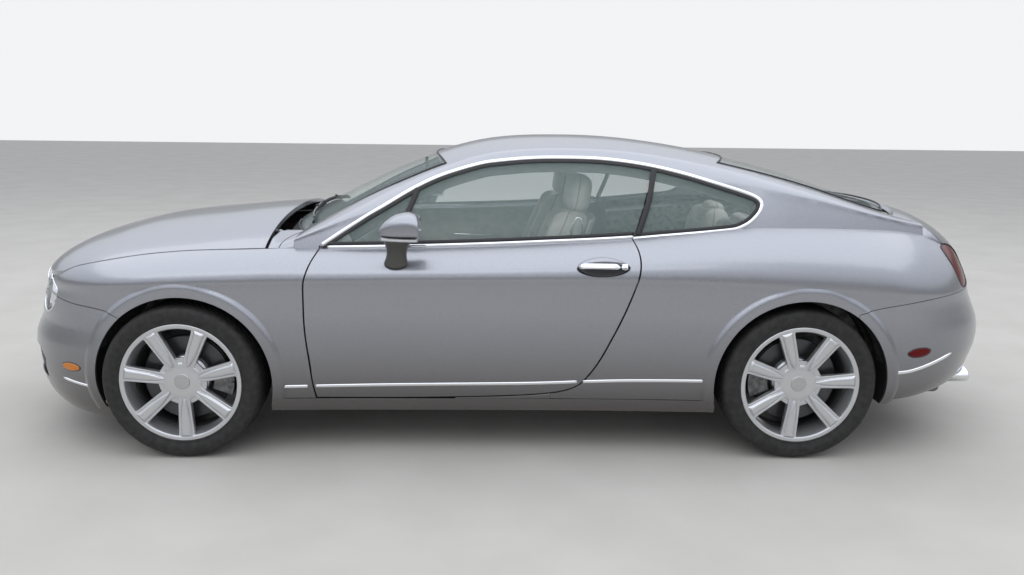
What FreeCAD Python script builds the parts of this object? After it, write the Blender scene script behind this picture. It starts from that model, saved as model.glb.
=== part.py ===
import FreeCAD, Part
import math, os

os.makedirs("parts", exist_ok=True)
V = FreeCAD.Vector

# ---------------------------------------------------------------- driving dimensions (mm)
# +X is the longest way, nose towards -X, left side towards -Y, ground at Z = 0
body_length = 4760.0
front_overhang = 927.5
wheelbase = 2745.0
axle_front = -body_length / 2 + front_overhang
axle_rear = axle_front + wheelbase
track_front = 1623.0
track_rear = 1607.0
tyre_radius = 348.0
tyre_width = 275.0
rim_radius = 254.0
spokes = 7
arch_radius = 388.0
liner_radius = 401.0
kingpin_y = 790.0
shut_gap = 7.0           # gap between a moving panel and its neighbour
fixed_gap = 3.0          # gap between two fixed panels
seat_gap = 0.3           # gap between a panel and the frame that carries it
pin_gap = 0.05           # radial clearance of a pin
skin = 5.0               # wall of a wing, bumper or quarter panel
hinge_x = -820.0         # door hinge axis
hinge_y = 890.0
hinge_pin = 8.0
bonnet_hinge_x = -1080.0
bonnet_hinge_z = 965.0
boot_hinge_x = 1800.0
boot_hinge_z = 1056.0
bonnet_rear = -1088.0    # rear edge of the bonnet
side_inner = 645.0       # outer face of the inner side wall over the rear wheels
apron_y = 470.0          # outer face of the inner wing wall
floor_top = 212.0
floor_wall = 25.0
firewall_x = -985.0
door_thickness = 110.0
bonnet_thickness = 22.0
roof_thickness = 28.0
glass = 5.0
disc_radius = 190.0
disc_width = 34.0
stub_radius = 30.0
nose_depth = 680.0       # how far the plan curve of the nose reaches back
tail_depth = 640.0
plan_power = 2.15
section_power = 2.2

# ---------------------------------------------------------------- curves of the body
# x of the station, half width at the waist line, height of the waist line,
# height of the section's top above the waist line
STATIONS = [
    # x,    half,  waist, rise
    (-2300, 935, 737, 12), (-2268, 935, 738, 30), (-2207, 936, 740, 93), (-2127, 937, 745, 135),
    (-2024, 938, 752, 167), (-1921, 940, 762, 184), (-1819, 943, 771, 198), (-1693, 946, 780, 206),
    (-1567, 948, 787, 212), (-1440, 948, 792, 219), (-1314, 946, 795, 229), (-1188, 943, 797, 237),
    (-1060, 939, 800, 242), (-850, 932, 803, 234), (-500, 927, 809, 228), (0, 926, 814, 243),
    (400, 930, 817, 272), (662, 937, 816, 304), (975, 950, 806, 362), (1292, 959, 792, 396),
    (1700, 951, 765, 403), (2000, 938, 752, 403), (2400, 920, 745, 400)]
# tuck of the side below the waist line: share of the way down, share of the tuck
TUCK = [(0, 0), (0.06, 0.13), (0.2, 0.22), (0.5, 0.27), (0.75, 0.42), (0.9, 0.70), (1.0, 1.0), (1.3, 1.6)]
tuck_depth = 72.0
sill_height = 200.0
# flare round the wheel arch: distance from the arch edge, how far it stands proud
FLARE = [(0, 10.0), (10, 12.0), (26, 12.5), (40, 11.5), (50, 7.0), (58, 1.5), (66, -1.2)]
# height, x of the nose and of the tail on the centre line
NOSE = [(120, -2262), (154, -2300), (210, -2346), (275, -2362), (335, -2374), (400, -2380), (472, -2374),
        (521, -2356), (560, -2334), (600, -2328), (656, -2316), (699, -2303), (740, -2288), (1200, -2288)]
TAIL = [(240, 2150), (266, 2220), (307, 2299), (348, 2334), (399, 2354), (449, 2368), (499, 2380), (564, 2377),
        (613, 2361), (657, 2339), (701, 2318), (735, 2306), (793, 2286), (856, 2259), (890, 2244),
        (923, 2225), (947, 2209), (970, 2190), (999, 2165), (1022, 2135), (1045, 2085)]
# line along the car where the side ends: bonnet edge, window sill, shoulder
BELT = [(-2300, 770), (-2100, 793), (-1988, 815), (-1929, 838), (-1840, 860), (-1751, 878), (-1640, 896),
        (-1530, 908), (-1376, 919), (-1245, 924), (-1056, 930), (-850, 932), (-498, 938), (-53, 953),
        (215, 966), (394, 976), (537, 986), (662, 998), (840, 1015), (975, 1029), (1100, 1036),
        (1350, 1036), (1600, 1030), (1760, 1018), (1880, 998), (1960, 972), (2030, 935), (2090, 890),
        (2160, 850)]
# centre line of windscreen, roof and rear window: x, height, fall to a point 600 mm out
CREST = [(-1060, 992, 62), (-1045, 1000, 66), (-946, 1055, 70), (-840, 1114, 72), (-680, 1195, 70), (-575, 1242, 67),
         (-469, 1284, 64), (-349, 1329, 60), (-260, 1355, 56), (-155, 1380, 52), (-51, 1396, 50),
         (53, 1405, 48), (158, 1409, 47), (263, 1410, 46), (368, 1409, 46), (473, 1405, 46), (631, 1392, 46),
         (737, 1379, 46), (843, 1364, 47), (950, 1345, 48), (1111, 1312, 50), (1273, 1274, 52),
         (1436, 1229, 53), (1546, 1193, 53), (1712, 1141, 52), (1840, 1106, 50), (1930, 1086, 48)]
# side window opening, seen from the side
WINDOW_TOP = [(-840, 940), (-787, 975), (-740, 1006), (-648, 1064), (-556, 1118), (-464, 1173),
              (-372, 1220), (-282, 1255), (-146, 1294), (-55, 1308), (81, 1320), (217, 1324), (399, 1321),
              (582, 1301), (767, 1263), (954, 1210), (1048, 1185), (1096, 1165), (1122, 1140)]
WINDOW_BOTTOM = [(1122, 1140), (1090, 1115), (1062, 1075), (1020, 1045), (975, 1031), (840, 1017), (662, 1000),
                 (537, 988), (394, 978), (215, 969), (-53, 956), (-498, 941), (-720, 937), (-840, 940)]
DOOR_FRONT = [(-838, 960), (-845, 935), (-868, 891), (-887, 843), (-897, 808), (-904, 724), (-905, 635), (-898, 523),
              (-888, 432), (-879, 340), (-866, 270)]
DOOR_BOTTOM = [(-866, 270), (-480, 269), (-48, 279), (85, 286), (174, 296), (263, 317), (307, 341)]
DOOR_REAR = [(307, 341), (350, 392), (392, 457), (434, 540), (475, 626), (515, 725), (542, 810), (553, 859),
             (556, 903), (549, 946), (531, 985), (500, 1030)]


def spline(table, col, x):
    # monotone cubic through the rows of a table
    n = len(table)
    if x <= table[0][0]:
        i = 0
        x = table[0][0]
    elif x >= table[-1][0]:
        i = n - 2
        x = table[-1][0]
    else:
        i = 0
        while table[i + 1][0] < x:
            i += 1

    def slope(k):
        d = [(table[j + 1][col] - table[j][col]) / float(table[j + 1][0] - table[j][0])
             for j in range(max(0, k - 1), min(n - 1, k + 1))]
        if len(d) == 1:
            return d[0]
        if d[0] * d[1] <= 0:
            return 0.0
        h0 = table[k][0] - table[k - 1][0]
        h1 = table[k + 1][0] - table[k][0]
        return 3.0 * (h0 + h1) / ((2 * h1 + h0) / d[0] + (h1 + 2 * h0) / d[1])
    h = float(table[i + 1][0] - table[i][0])
    t = (x - table[i][0]) / h
    a, b = table[i][col], table[i + 1][col]
    ma, mb = slope(i) * h, slope(i + 1) * h
    t2, t3 = t * t, t * t * t
    return a * (2 * t3 - 3 * t2 + 1) + ma * (t3 - 2 * t2 + t) + b * (3 * t2 - 2 * t3) + mb * (t3 - t2)


def curve_at(points, x):
    return spline(points, 1, x)


def ease(t, n):
    # superellipse from 0 to 1
    if t >= 1:
        return 1.0
    if t <= 0:
        return 0.0
    return (1 - (1 - t) ** n) ** (1.0 / n)


def half_width(x, z):
    # half width of the side before the nose and tail close it
    w = spline(STATIONS, 1, x)
    zw = spline(STATIONS, 2, x)
    if z <= zw:
        return w - tuck_depth * curve_at(TUCK, (zw - z) / (zw - sill_height))
    q = min(0.995, (z - zw) / spline(STATIONS, 3, x))
    return w * (1 - q ** section_power) ** (1 / section_power)


def side_y(x, z):
    return (half_width(x, z) * ease((x - curve_at(NOSE, z)) / nose_depth, plan_power)
            * ease((curve_at(TAIL, z) - x) / tail_depth, section_power))


def nose_x(y, z):
    x = curve_at(NOSE, z) + 200
    for k in range(6):
        q = min(0.9995, abs(y) / half_width(x, z))
        x = curve_at(NOSE, z) + nose_depth * (1 - (1 - q ** plan_power) ** (1 / plan_power))
    return x


def tail_x(y, z):
    x = curve_at(TAIL, z) - 200
    for k in range(6):
        q = min(0.9995, abs(y) / half_width(x, z))
        x = curve_at(TAIL, z) - tail_depth * (1 - (1 - q ** section_power) ** (1 / section_power))
    return x


def front_top(x, y):
    # bonnet and top of the front wings
    w = spline(STATIONS, 1, x) * ease((x + 2288) / nose_depth, plan_power)
    q = min(0.999, abs(y) / max(w, 1.0))
    return spline(STATIONS, 2, x) + spline(STATIONS, 3, x) * (1 - q ** section_power) ** (1 / section_power)


def crest(x, y):
    return spline(CREST, 1, x) - spline(CREST, 2, x) * (abs(y) / 600.0) ** 2.3


def belt_y(x):
    return side_y(x, curve_at(BELT, x))


def window_y(x, z):
    # side window and pillar surface above the belt
    d = z - curve_at(BELT, x)
    return belt_y(x) - 0.27 * d - 0.00042 * d * d


def cabin_section(x):
    # half section from the belt to the centre line, as y, z pairs
    zb = curve_at(BELT, x)
    zc = spline(CREST, 1, x)
    edge = 585.0
    ze = crest(x, edge)
    # height where the side surface turns into the top surface
    top = zb + 0.80 * (ze - zb)
    pts = []
    zb += seat_gap / 2
    for k in range(5):
        z = zb + (top - zb) * k / 4.0
        pts.append((window_y(x, z), z))
    ya, za = pts[-1]
    zr = ze - 0.35 * (ze - za)
    yr = max(window_y(x, ze) - 4, edge + 0.30 * (ya - edge))
    pts.append((edge + 0.72 * (yr - edge) + 8, zr))
    for y in (edge - 30, 480.0, 360.0, 240.0, 120.0, 0.0):
        pts.append((y, crest(x, y)))
    return pts


# ---------------------------------------------------------------- solid helpers
def hermite_poles(pts, t):
    # poles of the smooth cubic through pts at the parameters t
    n = len(pts)
    tan = []
    for i in range(n):
        if i == 0 or i == n - 1:
            tan.append(None)
            continue
        h0, h1 = t[i] - t[i - 1], t[i + 1] - t[i]
        d0 = pts[i].sub(pts[i - 1]).multiply(1 / h0)
        d1 = pts[i + 1].sub(pts[i]).multiply(1 / h1)
        tan.append(d0.multiply(h1 / (h0 + h1)).add(d1.multiply(h0 / (h0 + h1))))
    h = t[1] - t[0]
    if n == 2:
        tan[0] = pts[1].sub(pts[0]).multiply(1 / h)
        tan[1] = V(tan[0])
    else:
        tan[0] = pts[1].sub(pts[0]).multiply(1.5 / h).sub(V(tan[1]).multiply(0.5))
        h = t[-1] - t[-2]
        tan[-1] = pts[-1].sub(pts[-2]).multiply(1.5 / h).sub(V(tan[-2]).multiply(0.5))
    out = [pts[0], pts[0].add(V(tan[0]).multiply((t[1] - t[0]) / 3))]
    for i in range(1, n):
        h0 = (t[i] - t[i - 1]) / 3
        out.append(pts[i].sub(V(tan[i]).multiply(h0)))
        if i < n - 1:
            out.append(pts[i].add(V(tan[i]).multiply((t[i + 1] - t[i]) / 3)))
    out.append(pts[-1])
    return out


def chord(rows):
    # average spacing of the points along the rows, as parameters from 0 to 1
    n = len(rows[0])
    t = [0.0]
    for i in range(n - 1):
        t.append(t[-1] + max(1e-3, sum(r[i + 1].sub(r[i]).Length for r in rows) / len(rows)))
    return [v / t[-1] for v in t]


def surface(grid):
    # smooth surface through a grid of points
    tv = chord(grid)
    cols = [list(c) for c in zip(*grid)]
    tu = chord(cols)
    rows = [hermite_poles(r, tv) for r in grid]
    poles = list(zip(*[hermite_poles([r[j] for r in rows], tu) for j in range(len(rows[0]))]))
    s = Part.BSplineSurface()
    mu = [4] + [2] * (len(tu) - 2) + [4]
    mv = [4] + [2] * (len(tv) - 2) + [4]
    s.buildFromPolesMultsKnots([list(r) for r in poles], mu, mv, tu, tv, False, False, 3, 3)
    return s


def pushed(grid, dx, dy, dz):
    # panel of even thickness along one direction
    s = surface(grid).toShape().extrude(V(dx, dy, dz))
    if s.Volume < 0:
        s.reverse()
    return s


def skin_solid(outer, inner):
    # closed solid between two grids of points
    so, si = surface(outer), surface(inner)
    faces = [so.toShape(), si.toShape()]
    bo, bi = so.bounds(), si.bounds()
    for k in (0, 1):
        faces.append(Part.makeRuledSurface(so.uIso(bo[k]).toShape(), si.uIso(bi[k]).toShape()))
        faces.append(Part.makeRuledSurface(so.vIso(bo[2 + k]).toShape(), si.vIso(bi[2 + k]).toShape()))
    c = Part.makeCompound(faces)
    c.sewShape()
    s = Part.makeSolid(c.Shells[0])
    if s.Volume < 0:
        s.reverse()
    return s


def offset_grid(grid, d):
    # moves a grid of points by d along its own normals (inwards for the left side)
    nu, nv = len(grid), len(grid[0])
    out = []
    for i in range(nu):
        row = []
        for j in range(nv):
            a = grid[min(i + 1, nu - 1)][j].sub(grid[max(i - 1, 0)][j])
            b = grid[i][min(j + 1, nv - 1)].sub(grid[i][max(j - 1, 0)])
            n = a.cross(b)
            n.normalize()
            row.append(grid[i][j].add(V(n.x * d, n.y * d, n.z * d)))
        out.append(row)
    return out


def shift_grid(grid, dx, dy, dz):
    return [[p.add(V(dx, dy, dz)) for p in row] for row in grid]


def lin(a, b, n):
    return [a + (b - a) * k / (n - 1.0) for k in range(n)]


def spline_wire(segments, plane):
    edges = []
    for seg in segments:
        pts = [V(*plane(p)) for p in seg]
        if len(pts) == 2:
            edges.append(Part.makeLine(pts[0], pts[1]))
        else:
            c = Part.BSplineCurve()
            c.interpolate(pts)
            edges.append(c.toShape())
    return Part.Wire(edges)


def prism(segments, axis, lo, hi):
    # closed outline pushed along an axis; outline points are (x,z), (y,z) or (x,y)
    if axis == "y":
        w = spline_wire(segments, lambda p: (p[0], lo, p[1]))
        d = V(0, hi - lo, 0)
    elif axis == "x":
        w = spline_wire(segments, lambda p: (lo, p[0], p[1]))
        d = V(hi - lo, 0, 0)
    else:
        w = spline_wire(segments, lambda p: (p[0], p[1], lo))
        d = V(0, 0, hi - lo)
    return Part.Face(w).extrude(d)


def inset(segs, cx, cy, f):
    return [[(cx + (p[0] - cx) * f, cy + (p[1] - cy) * f) for p in s] for s in segs]


def poly(points):
    return [[points[i], points[(i + 1) % len(points)]] for i in range(len(points))]


def box(x0, x1, y0, y1, z0, z1):
    return Part.makeBox(x1 - x0, y1 - y0, z1 - z0, V(x0, y0, z0))


def cyl(r, x, z, y0, y1):
    return Part.makeCylinder(r, y1 - y0, V(x, y0, z), V(0, 1, 0))


def bar(a, b, r):
    d = V(*b).sub(V(*a))
    return Part.makeCylinder(r, d.Length, V(*a), d)


def mirror(s):
    return s.mirror(V(0, 0, 0), V(0, 1, 0))


def stretched(s, kx, ky, kz, at):
    # shape at the origin, stretched along the axes, then moved
    m = FreeCAD.Matrix()
    m.scale(kx, ky, kz)
    s = s.transformGeometry(m)
    s.translate(V(*at))
    return s


def ellipsoid(rx, ry, rz, at):
    return stretched(Part.makeSphere(1.0), rx, ry, rz, at)


def oval_bar(ry, rz, x0, x1, y, z):
    # oval rod along X
    return stretched(Part.makeCylinder(1.0, x1 - x0, V(0, 0, 0), V(1, 0, 0)), 1.0, ry, rz, (x0, y, z))


def rounded(s, r):
    # every edge rounded, never by more than the shortest edge allows
    return s.makeFillet(min(r, 0.42 * min(e.Length for e in s.Edges)), s.Edges)


def fuse(items):
    s = items[0]
    if len(items) > 1:
        s = s.fuse(items[1:])
    return s.removeSplitter() if len(items) > 1 else s


def seated_behind(s, panel, dx, dz):
    # cut to sit a hair behind a panel
    near = panel.copy()
    near.translate(V(dx, 0, dz))
    return s.cut(panel).cut(near)


def wheel_liner(cx, cz, y_in, y_out, a0, a1):
    # thin arc that covers the wheel well
    r = liner_radius
    ring = cyl(r + 3, cx, cz, -y_out, -y_in).cut(cyl(r, cx, cz, -y_out - 1, -y_in + 1))
    pts = [V(cx, -y_out - 5, cz)]
    for a in lin(a0, a1, 9):
        pts.append(V(cx + 600 * math.cos(math.radians(a)), -y_out - 5, cz + 600 * math.sin(math.radians(a))))
    wedge = Part.Face(Part.makePolygon(pts + pts[:1])).extrude(V(0, y_out - y_in + 10, 0))
    return ring.common(wedge)


names = []


def save(name, s):
    solids = s.Solids
    print(name, len(solids), "valid" if s.isValid() else "INVALID", round(s.Volume / 1e6, 2))
    if len(solids) == 1:
        s = solids[0]
    else:
        s = Part.makeCompound(solids)
    s.exportStep("parts/" + name + ".step")
    names.append(name)


def save_pair(name, s):
    save(name + "_left", s)
    save(name + "_right", mirror(s))


# ---------------------------------------------------------------- side skin, left hand
def side_rows(x, zlow):
    zw = spline(STATIONS, 2, x)
    zb = curve_at(BELT, x)
    rows = [zlow + (zw - zlow) * k for k in (0, 0.14, 0.32, 0.55, 0.78, 0.9, 0.97)]
    zb -= seat_gap / 2
    rows += [zw + (zb - zw) * k for k in (0, 0.12, 0.3, 0.5, 0.68, 0.82, 0.92, 1.0)]
    return rows


def side_patch(x0, x1, zlow, nx, thick, by_y=False, wrap=None):
    outer = []
    for x in lin(x0, x1, nx):
        col = []
        for z in side_rows(x, zlow):
            col.append(V(x, -side_y(x, z), z))
        outer.append(col)
    if by_y:
        return pushed(outer, 0, thick, 0)
    inner = offset_grid(outer, thick)
    if inner[nx // 2][4].y < outer[nx // 2][4].y:
        inner = offset_grid(outer, -thick)
    return skin_solid(outer, inner)


lamp_in = Part.makeCylinder(104, 500, V(-2420, -470, 672), V(1, 0, 0))
lamp_out = Part.makeCylinder(80, 500, V(-2420, -668, 690), V(1, 0, 0))
arch_front = cyl(arch_radius, axle_front + 8, 346, -1200, -400)
arch_rear = cyl(arch_radius, axle_rear + 2, 349, -1200, -400)
big = 1200


def arch_lip(cx, cz, a0, a1, n):
    # flare round an arch, from angle a0 to a1 in degrees, as a band over the side surface
    out, inn = [], []
    for a in lin(a0, a1, n):
        ca, sa = math.cos(math.radians(a)), math.sin(math.radians(a))
        row_o, row_i = [], []
        for d, proud in FLARE:
            x, z = cx + (arch_radius - 2 + d) * ca, cz + (arch_radius - 2 + d) * sa
            y = side_y(x, z)
            row_o.append(V(x, -(y + proud), z))
            row_i.append(V(x, -(y - 4.0), z))
        out.append(row_o)
        inn.append(row_i)
    return skin_solid(out, inn)


def door_outline(g):
    # door seen from the side, grown by g
    f = [(x - g, z) for x, z in DOOR_FRONT]
    b = [(x, z - g) for x, z in DOOR_BOTTOM[1:-1]]
    r = [(x + g, z - g * 0.4) for x, z in DOOR_REAR]
    fb = (DOOR_BOTTOM[0][0] - g, DOOR_BOTTOM[0][1] - g)
    f[-1] = fb
    return [f, [fb] + b + [r[0]], r, [r[-1], (r[-1][0], 1100)], [(r[-1][0], 1100), (f[0][0], 1100)],
            [(f[0][0], 1100), f[0]]]


door_cut = prism(door_outline(shut_gap), "y", -big, -500)
door_prism = prism(door_outline(0), "y", -big, -500)

FRONT_EDGE = [(0, -2258), (300, -2232), (500, -2178), (650, -2098), (730, -2025), (759, -1990)]


def bonnet_edge(x):
    return belt_y(max(x, -1990)) - shut_gap


def bonnet_point(s, u):
    xf = curve_at(FRONT_EDGE, abs(u) * 752)
    x = xf + s * (bonnet_rear - xf)
    return x, u * bonnet_edge(x)


# plan of the bonnet grown by its gap
bonnet_front = [(bonnet_point(0, -u)[0] - shut_gap, bonnet_point(0, -u)[1] * 1.012) for u in (1, 0.95, 0.9, 0.8, 0.6, 0.4)]
bonnet_side = [(bonnet_point(s, -1)[0], bonnet_point(s, -1)[1] - shut_gap) for s in (1, 0.8, 0.6, 0.4, 0.2, 0.1, 0.04)]
bonnet_zone = prism([bonnet_side, [bonnet_side[-1], bonnet_front[0]], bonnet_front, [bonnet_front[-1], (bonnet_rear, -200)],
                     [(bonnet_rear, -200), bonnet_side[0]]], "z", 740, 1100)

# wing
wing = side_patch(-2080, -800, 190, 19, skin)
wing_front = [[(-1988, 1000), (-1988, 800), (-2046, 708), (-2060, 697), (-1988, 688)],]
seam = [(-2075, 700), (-1988, 690), (-1928, 684), (-1842, 678), (-1778, 670), (-1744, 660), (-1700, 640)]
wing_zone = prism([seam, [(-1700, 640), (-1700, 150)], [(-1700, 150), (-700, 150)], [(-700, 150), (-700, 1100)],
                   [(-700, 1100), (-2075, 1100)], [(-2075, 1100), (-2075, 700)]], "y", -big, -300)
wing = wing.fuse(arch_lip(axle_front + 8, 346, -18, 139, 37))
wing = wing.common(wing_zone).cut(arch_front).cut(door_cut).cut(lamp_out).cut(bonnet_zone)
sill_zone_top = 262
wing = wing.cut(box(-1200, -700, -big, -300, 100, sill_zone_top + fixed_gap))
save_pair("wing", wing)

# rail under the edge of a panel, following its inner face
def edge_rail(x0, x1, nx, low, high, thick):
    outer = []
    for x in lin(x0, x1, nx):
        zb = curve_at(BELT, x)
        outer.append([V(x, -side_y(x, z), z) for z in lin(zb - low, zb - high, 5)])
    s = 1 if offset_grid(outer, 1.0)[nx // 2][2].y > outer[nx // 2][2].y else -1
    return skin_solid(offset_grid(outer, s * (skin + seat_gap)), offset_grid(outer, s * (skin + seat_gap + thick)))


def rail_shelf(x0, x1, nx, wall_y, low, thick):
    # joins the inner wall to the lower edge of the rail
    top = []
    for x in lin(x0, x1, nx):
        zb = curve_at(BELT, x)
        ye = side_y(x, zb - low) - skin - 12
        top.append([V(x, -wall_y, zb - low - 6), V(x, -(wall_y + ye) / 2, zb - low - 4), V(x, -ye, zb - low - 1)])
    return pushed(top, 0, 0, -thick)


# door, stepped round its two hinges
door = side_patch(-930, 590, 250, 15, door_thickness, by_y=True)
door = door.common(door_prism)
door_low = (400.0, 470.0)
door_high = (690.0, 760.0)
for z0, z1 in (door_low, door_high):
    door = door.cut(box(-1000, hinge_x + 30, -(hinge_y + 20), -700, z0 - 6, z1 + 6))
    lug = Part.makeCylinder(15, z1 - z0 - 40, V(hinge_x, -hinge_y, z0 + 20))
    arm = box(hinge_x, hinge_x + 34, -(hinge_y + 12), -(hinge_y - 12), z0 + 20, z1 - 20)
    bore = Part.makeCylinder(hinge_pin + pin_gap, 200, V(hinge_x, -hinge_y, z0 - 60))
    door = door.fuse([lug, arm]).cut(bore)
bowl = ellipsoid(118, 24, 44, (395, -(side_y(395, 874) + 4), 874))
door = door.cut(bowl)
save_pair("door", door)

# quarter panel
def quarter_x1(z):
    return min(2140.0, curve_at(TAIL, z) - 118)


outer = []
quarter_x0 = 180.0
for k in range(25):
    col = []
    u = k / 24.0
    for j in range(15):
        x = quarter_x0 + 1960 * u
        for it in range(4):
            z = side_rows(x, 190)[j]
            x = quarter_x0 + (quarter_x1(z) - quarter_x0) * u
        col.append(V(x, -side_y(x, z), z))
    outer.append(col)
inner = offset_grid(outer, skin)
if inner[12][4].y < outer[12][4].y:
    inner = offset_grid(outer, -skin)
quarter = skin_solid(outer, inner)
rear_seam = [(1521, 679), (1564, 691), (1620, 705), (1708, 721), (1795, 735), (1883, 745), (1971, 750), (2300, 752)]
quarter_zone = prism([rear_seam, [rear_seam[-1], (2300, 1300)], [(2300, 1300), (100, 1300)], [(100, 1300), (100, 150)],
                      [(100, 150), (1521, 150)], [(1521, 150), (1521, 679)]], "y", -big, -200)
tail_lamp_yz = [[(-500, 850), (-512, 890), (-545, 922), (-600, 942), (-670, 946), (-716, 918), (-745, 856), (-753, 800),
                 (-740, 768), (-700, 757), (-620, 760), (-550, 778), (-512, 810), (-500, 850)]]
tail_lamp_prism = prism(tail_lamp_yz, "x", 1950, 2400)
quarter = quarter.fuse(arch_lip(axle_rear + 2, 349, 40, 200, 41))
quarter = quarter.common(quarter_zone).cut(arch_rear).cut(door_cut).cut(tail_lamp_prism)
boot_side = prism(poly([(1772, -594), (1800, -582), (1880, -622), (1950, -650), (2005, -660), (2046, -655), (2200, -640),
                        (2200, 0), (1772, 0)]), "z", 924, 1200)
boot_low = prism(poly([(0, 745), (-499, 745), (-503, 784), (-540, 820), (-591, 850), (-636, 882), (-656, 925), (0, 925)]),
                 "x", 2036, 2400)
quarter = quarter.cut(boot_side).cut(boot_low)
quarter = quarter.cut(box(100, 1100, -big, -300, 100, sill_zone_top + fixed_gap))
save_pair("quarter", quarter)

# sill
pts_o, pts_i = [], []
for x in lin(-1075, 925, 9):
    zz = lin(sill_height, sill_zone_top, 4)
    pts_o.append([V(x, -side_y(x, z), z) for z in zz])
    pts_i.append([V(x, -760, z) for z in zz])
sill = skin_solid(pts_o, pts_i).cut(arch_front).cut(arch_rear)
save_pair("sill", sill)

# ---------------------------------------------------------------- nose and tail
def wrap_patch(tip, depth, power, sign, z0, z1, nz, thick, reach=None):
    # panel round the nose or tail; reach is the x that its sides run on to
    outer = []
    for z in lin(z0, z1, nz):
        row = []
        side = []
        if reach is not None:
            side = [V(x, -side_y(x, z), z) for x in lin(reach, curve_at(tip, z) + sign * depth, 6)[:-1]]
        for k in range(33):
            a = math.radians(-89.5 + 179.0 * k / 32.0)
            s = abs(math.sin(a)) ** (2 / power)
            c = abs(math.cos(a)) ** (2 / power)
            x = curve_at(tip, z) + sign * depth * (1 - c)
            y = half_width(x, z) * s * (1 if a > 0 else -1)
            row.append(V(x, y, z))
        outer.append(side + row + [V(q.x, -q.y, q.z) for q in reversed(side)])
    inner = offset_grid(outer, thick)
    mid = len(outer[0]) // 2
    if (inner[nz // 2][mid].x - outer[nz // 2][mid].x) * sign < 0:
        inner = offset_grid(outer, -thick)
    return skin_solid(outer, inner)


bumper = wrap_patch(NOSE, nose_depth, plan_power, 1, 154, 738, 15, skin)
lip_f = arch_lip(axle_front + 8, 346, 120, 200, 21)
bumper = bumper.fuse([lip_f, mirror(lip_f)])
both_arch_f = cyl(arch_radius, axle_front + 8, 346, -1200, 1200)
under_seam = [(-2075 - fixed_gap, 700 - fixed_gap)] + [(x, z - fixed_gap) for x, z in seam[1:]]
side_cut = prism([under_seam, [under_seam[-1], (-1600, 640)], [(-1600, 640), (-1600, 900)],
                  [(-1600, 900), (-2078, 900)], [(-2078, 900), under_seam[0]]], "y", -big, big)
bumper = bumper.cut(both_arch_f).cut(side_cut)
# openings seen from the front: grille, lower intakes, lamps
grille_yz = [[(-330, 600), (-345, 680), (-330, 745), (-300, 770)], [(-300, 770), (300, 770)],
             [(300, 770), (330, 745), (345, 680), (330, 600)], [(330, 600), (300, 575), (0, 566), (-300, 575), (-330, 600)]]
grille_prism = prism(grille_yz, "x", -2420, -2050)
intake_yz = [[(-360, 300), (360, 300)], [(360, 300), (400, 400)], [(400, 400), (330, 455)], [(330, 455), (-330, 455)],
             [(-330, 455), (-400, 400)], [(-400, 400), (-360, 300)]]
intake_prism = prism(intake_yz, "x", -2420, -2050)
side_intake = [[(-460, 300), (-700, 300)], [(-700, 300), (-730, 400)], [(-730, 400), (-680, 440)],
               [(-680, 440), (-450, 440)], [(-450, 440), (-430, 380)], [(-430, 380), (-460, 300)]]
side_intake_prism = prism(side_intake, "x", -2420, -1990)
for cutter in (grille_prism, intake_prism, side_intake_prism, mirror(side_intake_prism), lamp_in, lamp_out,
               mirror(lamp_in), mirror(lamp_out)):
    bumper = bumper.cut(cutter)
save("front_bumper", bumper)
front_bumper = bumper


def wrap_beam(tip, depth, power, sign, z0, z1, half_angle, thick):
    g = []
    for z in lin(z0, z1, 7):
        row = []
        for k in range(25):
            a = math.radians(-half_angle + 2 * half_angle * k / 24.0)
            s = abs(math.sin(a)) ** (2 / power)
            c = abs(math.cos(a)) ** (2 / power)
            row.append(V(curve_at(tip, z) + sign * depth * (1 - c), half_width(curve_at(tip, z) + sign * depth * (1 - c), z)
                         * s * (1 if a > 0 else -1), z))
        g.append(row)
    s = 1 if (offset_grid(g, 1.0)[3][12].x - g[3][12].x) * sign > 0 else -1
    near = skin + 2 * seat_gap
    return skin_solid(offset_grid(g, s * near), offset_grid(g, s * (near + thick)))


rear = wrap_patch(TAIL, tail_depth, section_power, -1, 270, 760, 13, skin, 1500)
lip_r = arch_lip(axle_rear + 2, 349, -14, 66, 21)
rear = rear.fuse([lip_r, mirror(lip_r)])
both_arch_r = cyl(arch_radius, axle_rear + 2, 349, -1200, 1200)
under_rear = [(x, z - fixed_gap) for x, z in rear_seam]
rear_cut = prism([under_rear, [under_rear[-1], (2500, 900)], [(2500, 900), (1300, 900)], [(1300, 900), (1300, 600)],
                  [(1300, 600), (1524, 600)], [(1524, 600), (1524, 668)], [(1524, 668), under_rear[0]]], "y", -big, big)
rear = rear.cut(both_arch_r).cut(rear_cut)
for sg in (-1, 1):
    rear = rear.cut(oval_bar(84, 50, 2050, 2500, sg * 570, 302)).cut(box(2050, 2500, sg * 570 - 84, sg * 570 + 84, 240, 302))
save("rear_bumper", rear)
rear_bumper = rear

# ---------------------------------------------------------------- bonnet
outer = []
for k in range(17):
    row = []
    for j in range(21):
        u = -1 + 2 * j / 20.0
        x, y = bonnet_point((k / 16.0) ** 1.35, math.sin(u * math.pi / 2) * 0.35 + u * 0.65)
        row.append(V(x, y, front_top(x, y)))
    outer.append(row)
bonnet = pushed(outer, 0, 0, -bonnet_thickness)
bonnet_knuckle_y = (565.0, 595.0)


def hinge_boss(x, z, y0, y1, r, pin):
    return cyl(r, x, z, y0, y1), cyl(pin + pin_gap, x, z, y0 - 20, y1 + 20)


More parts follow.
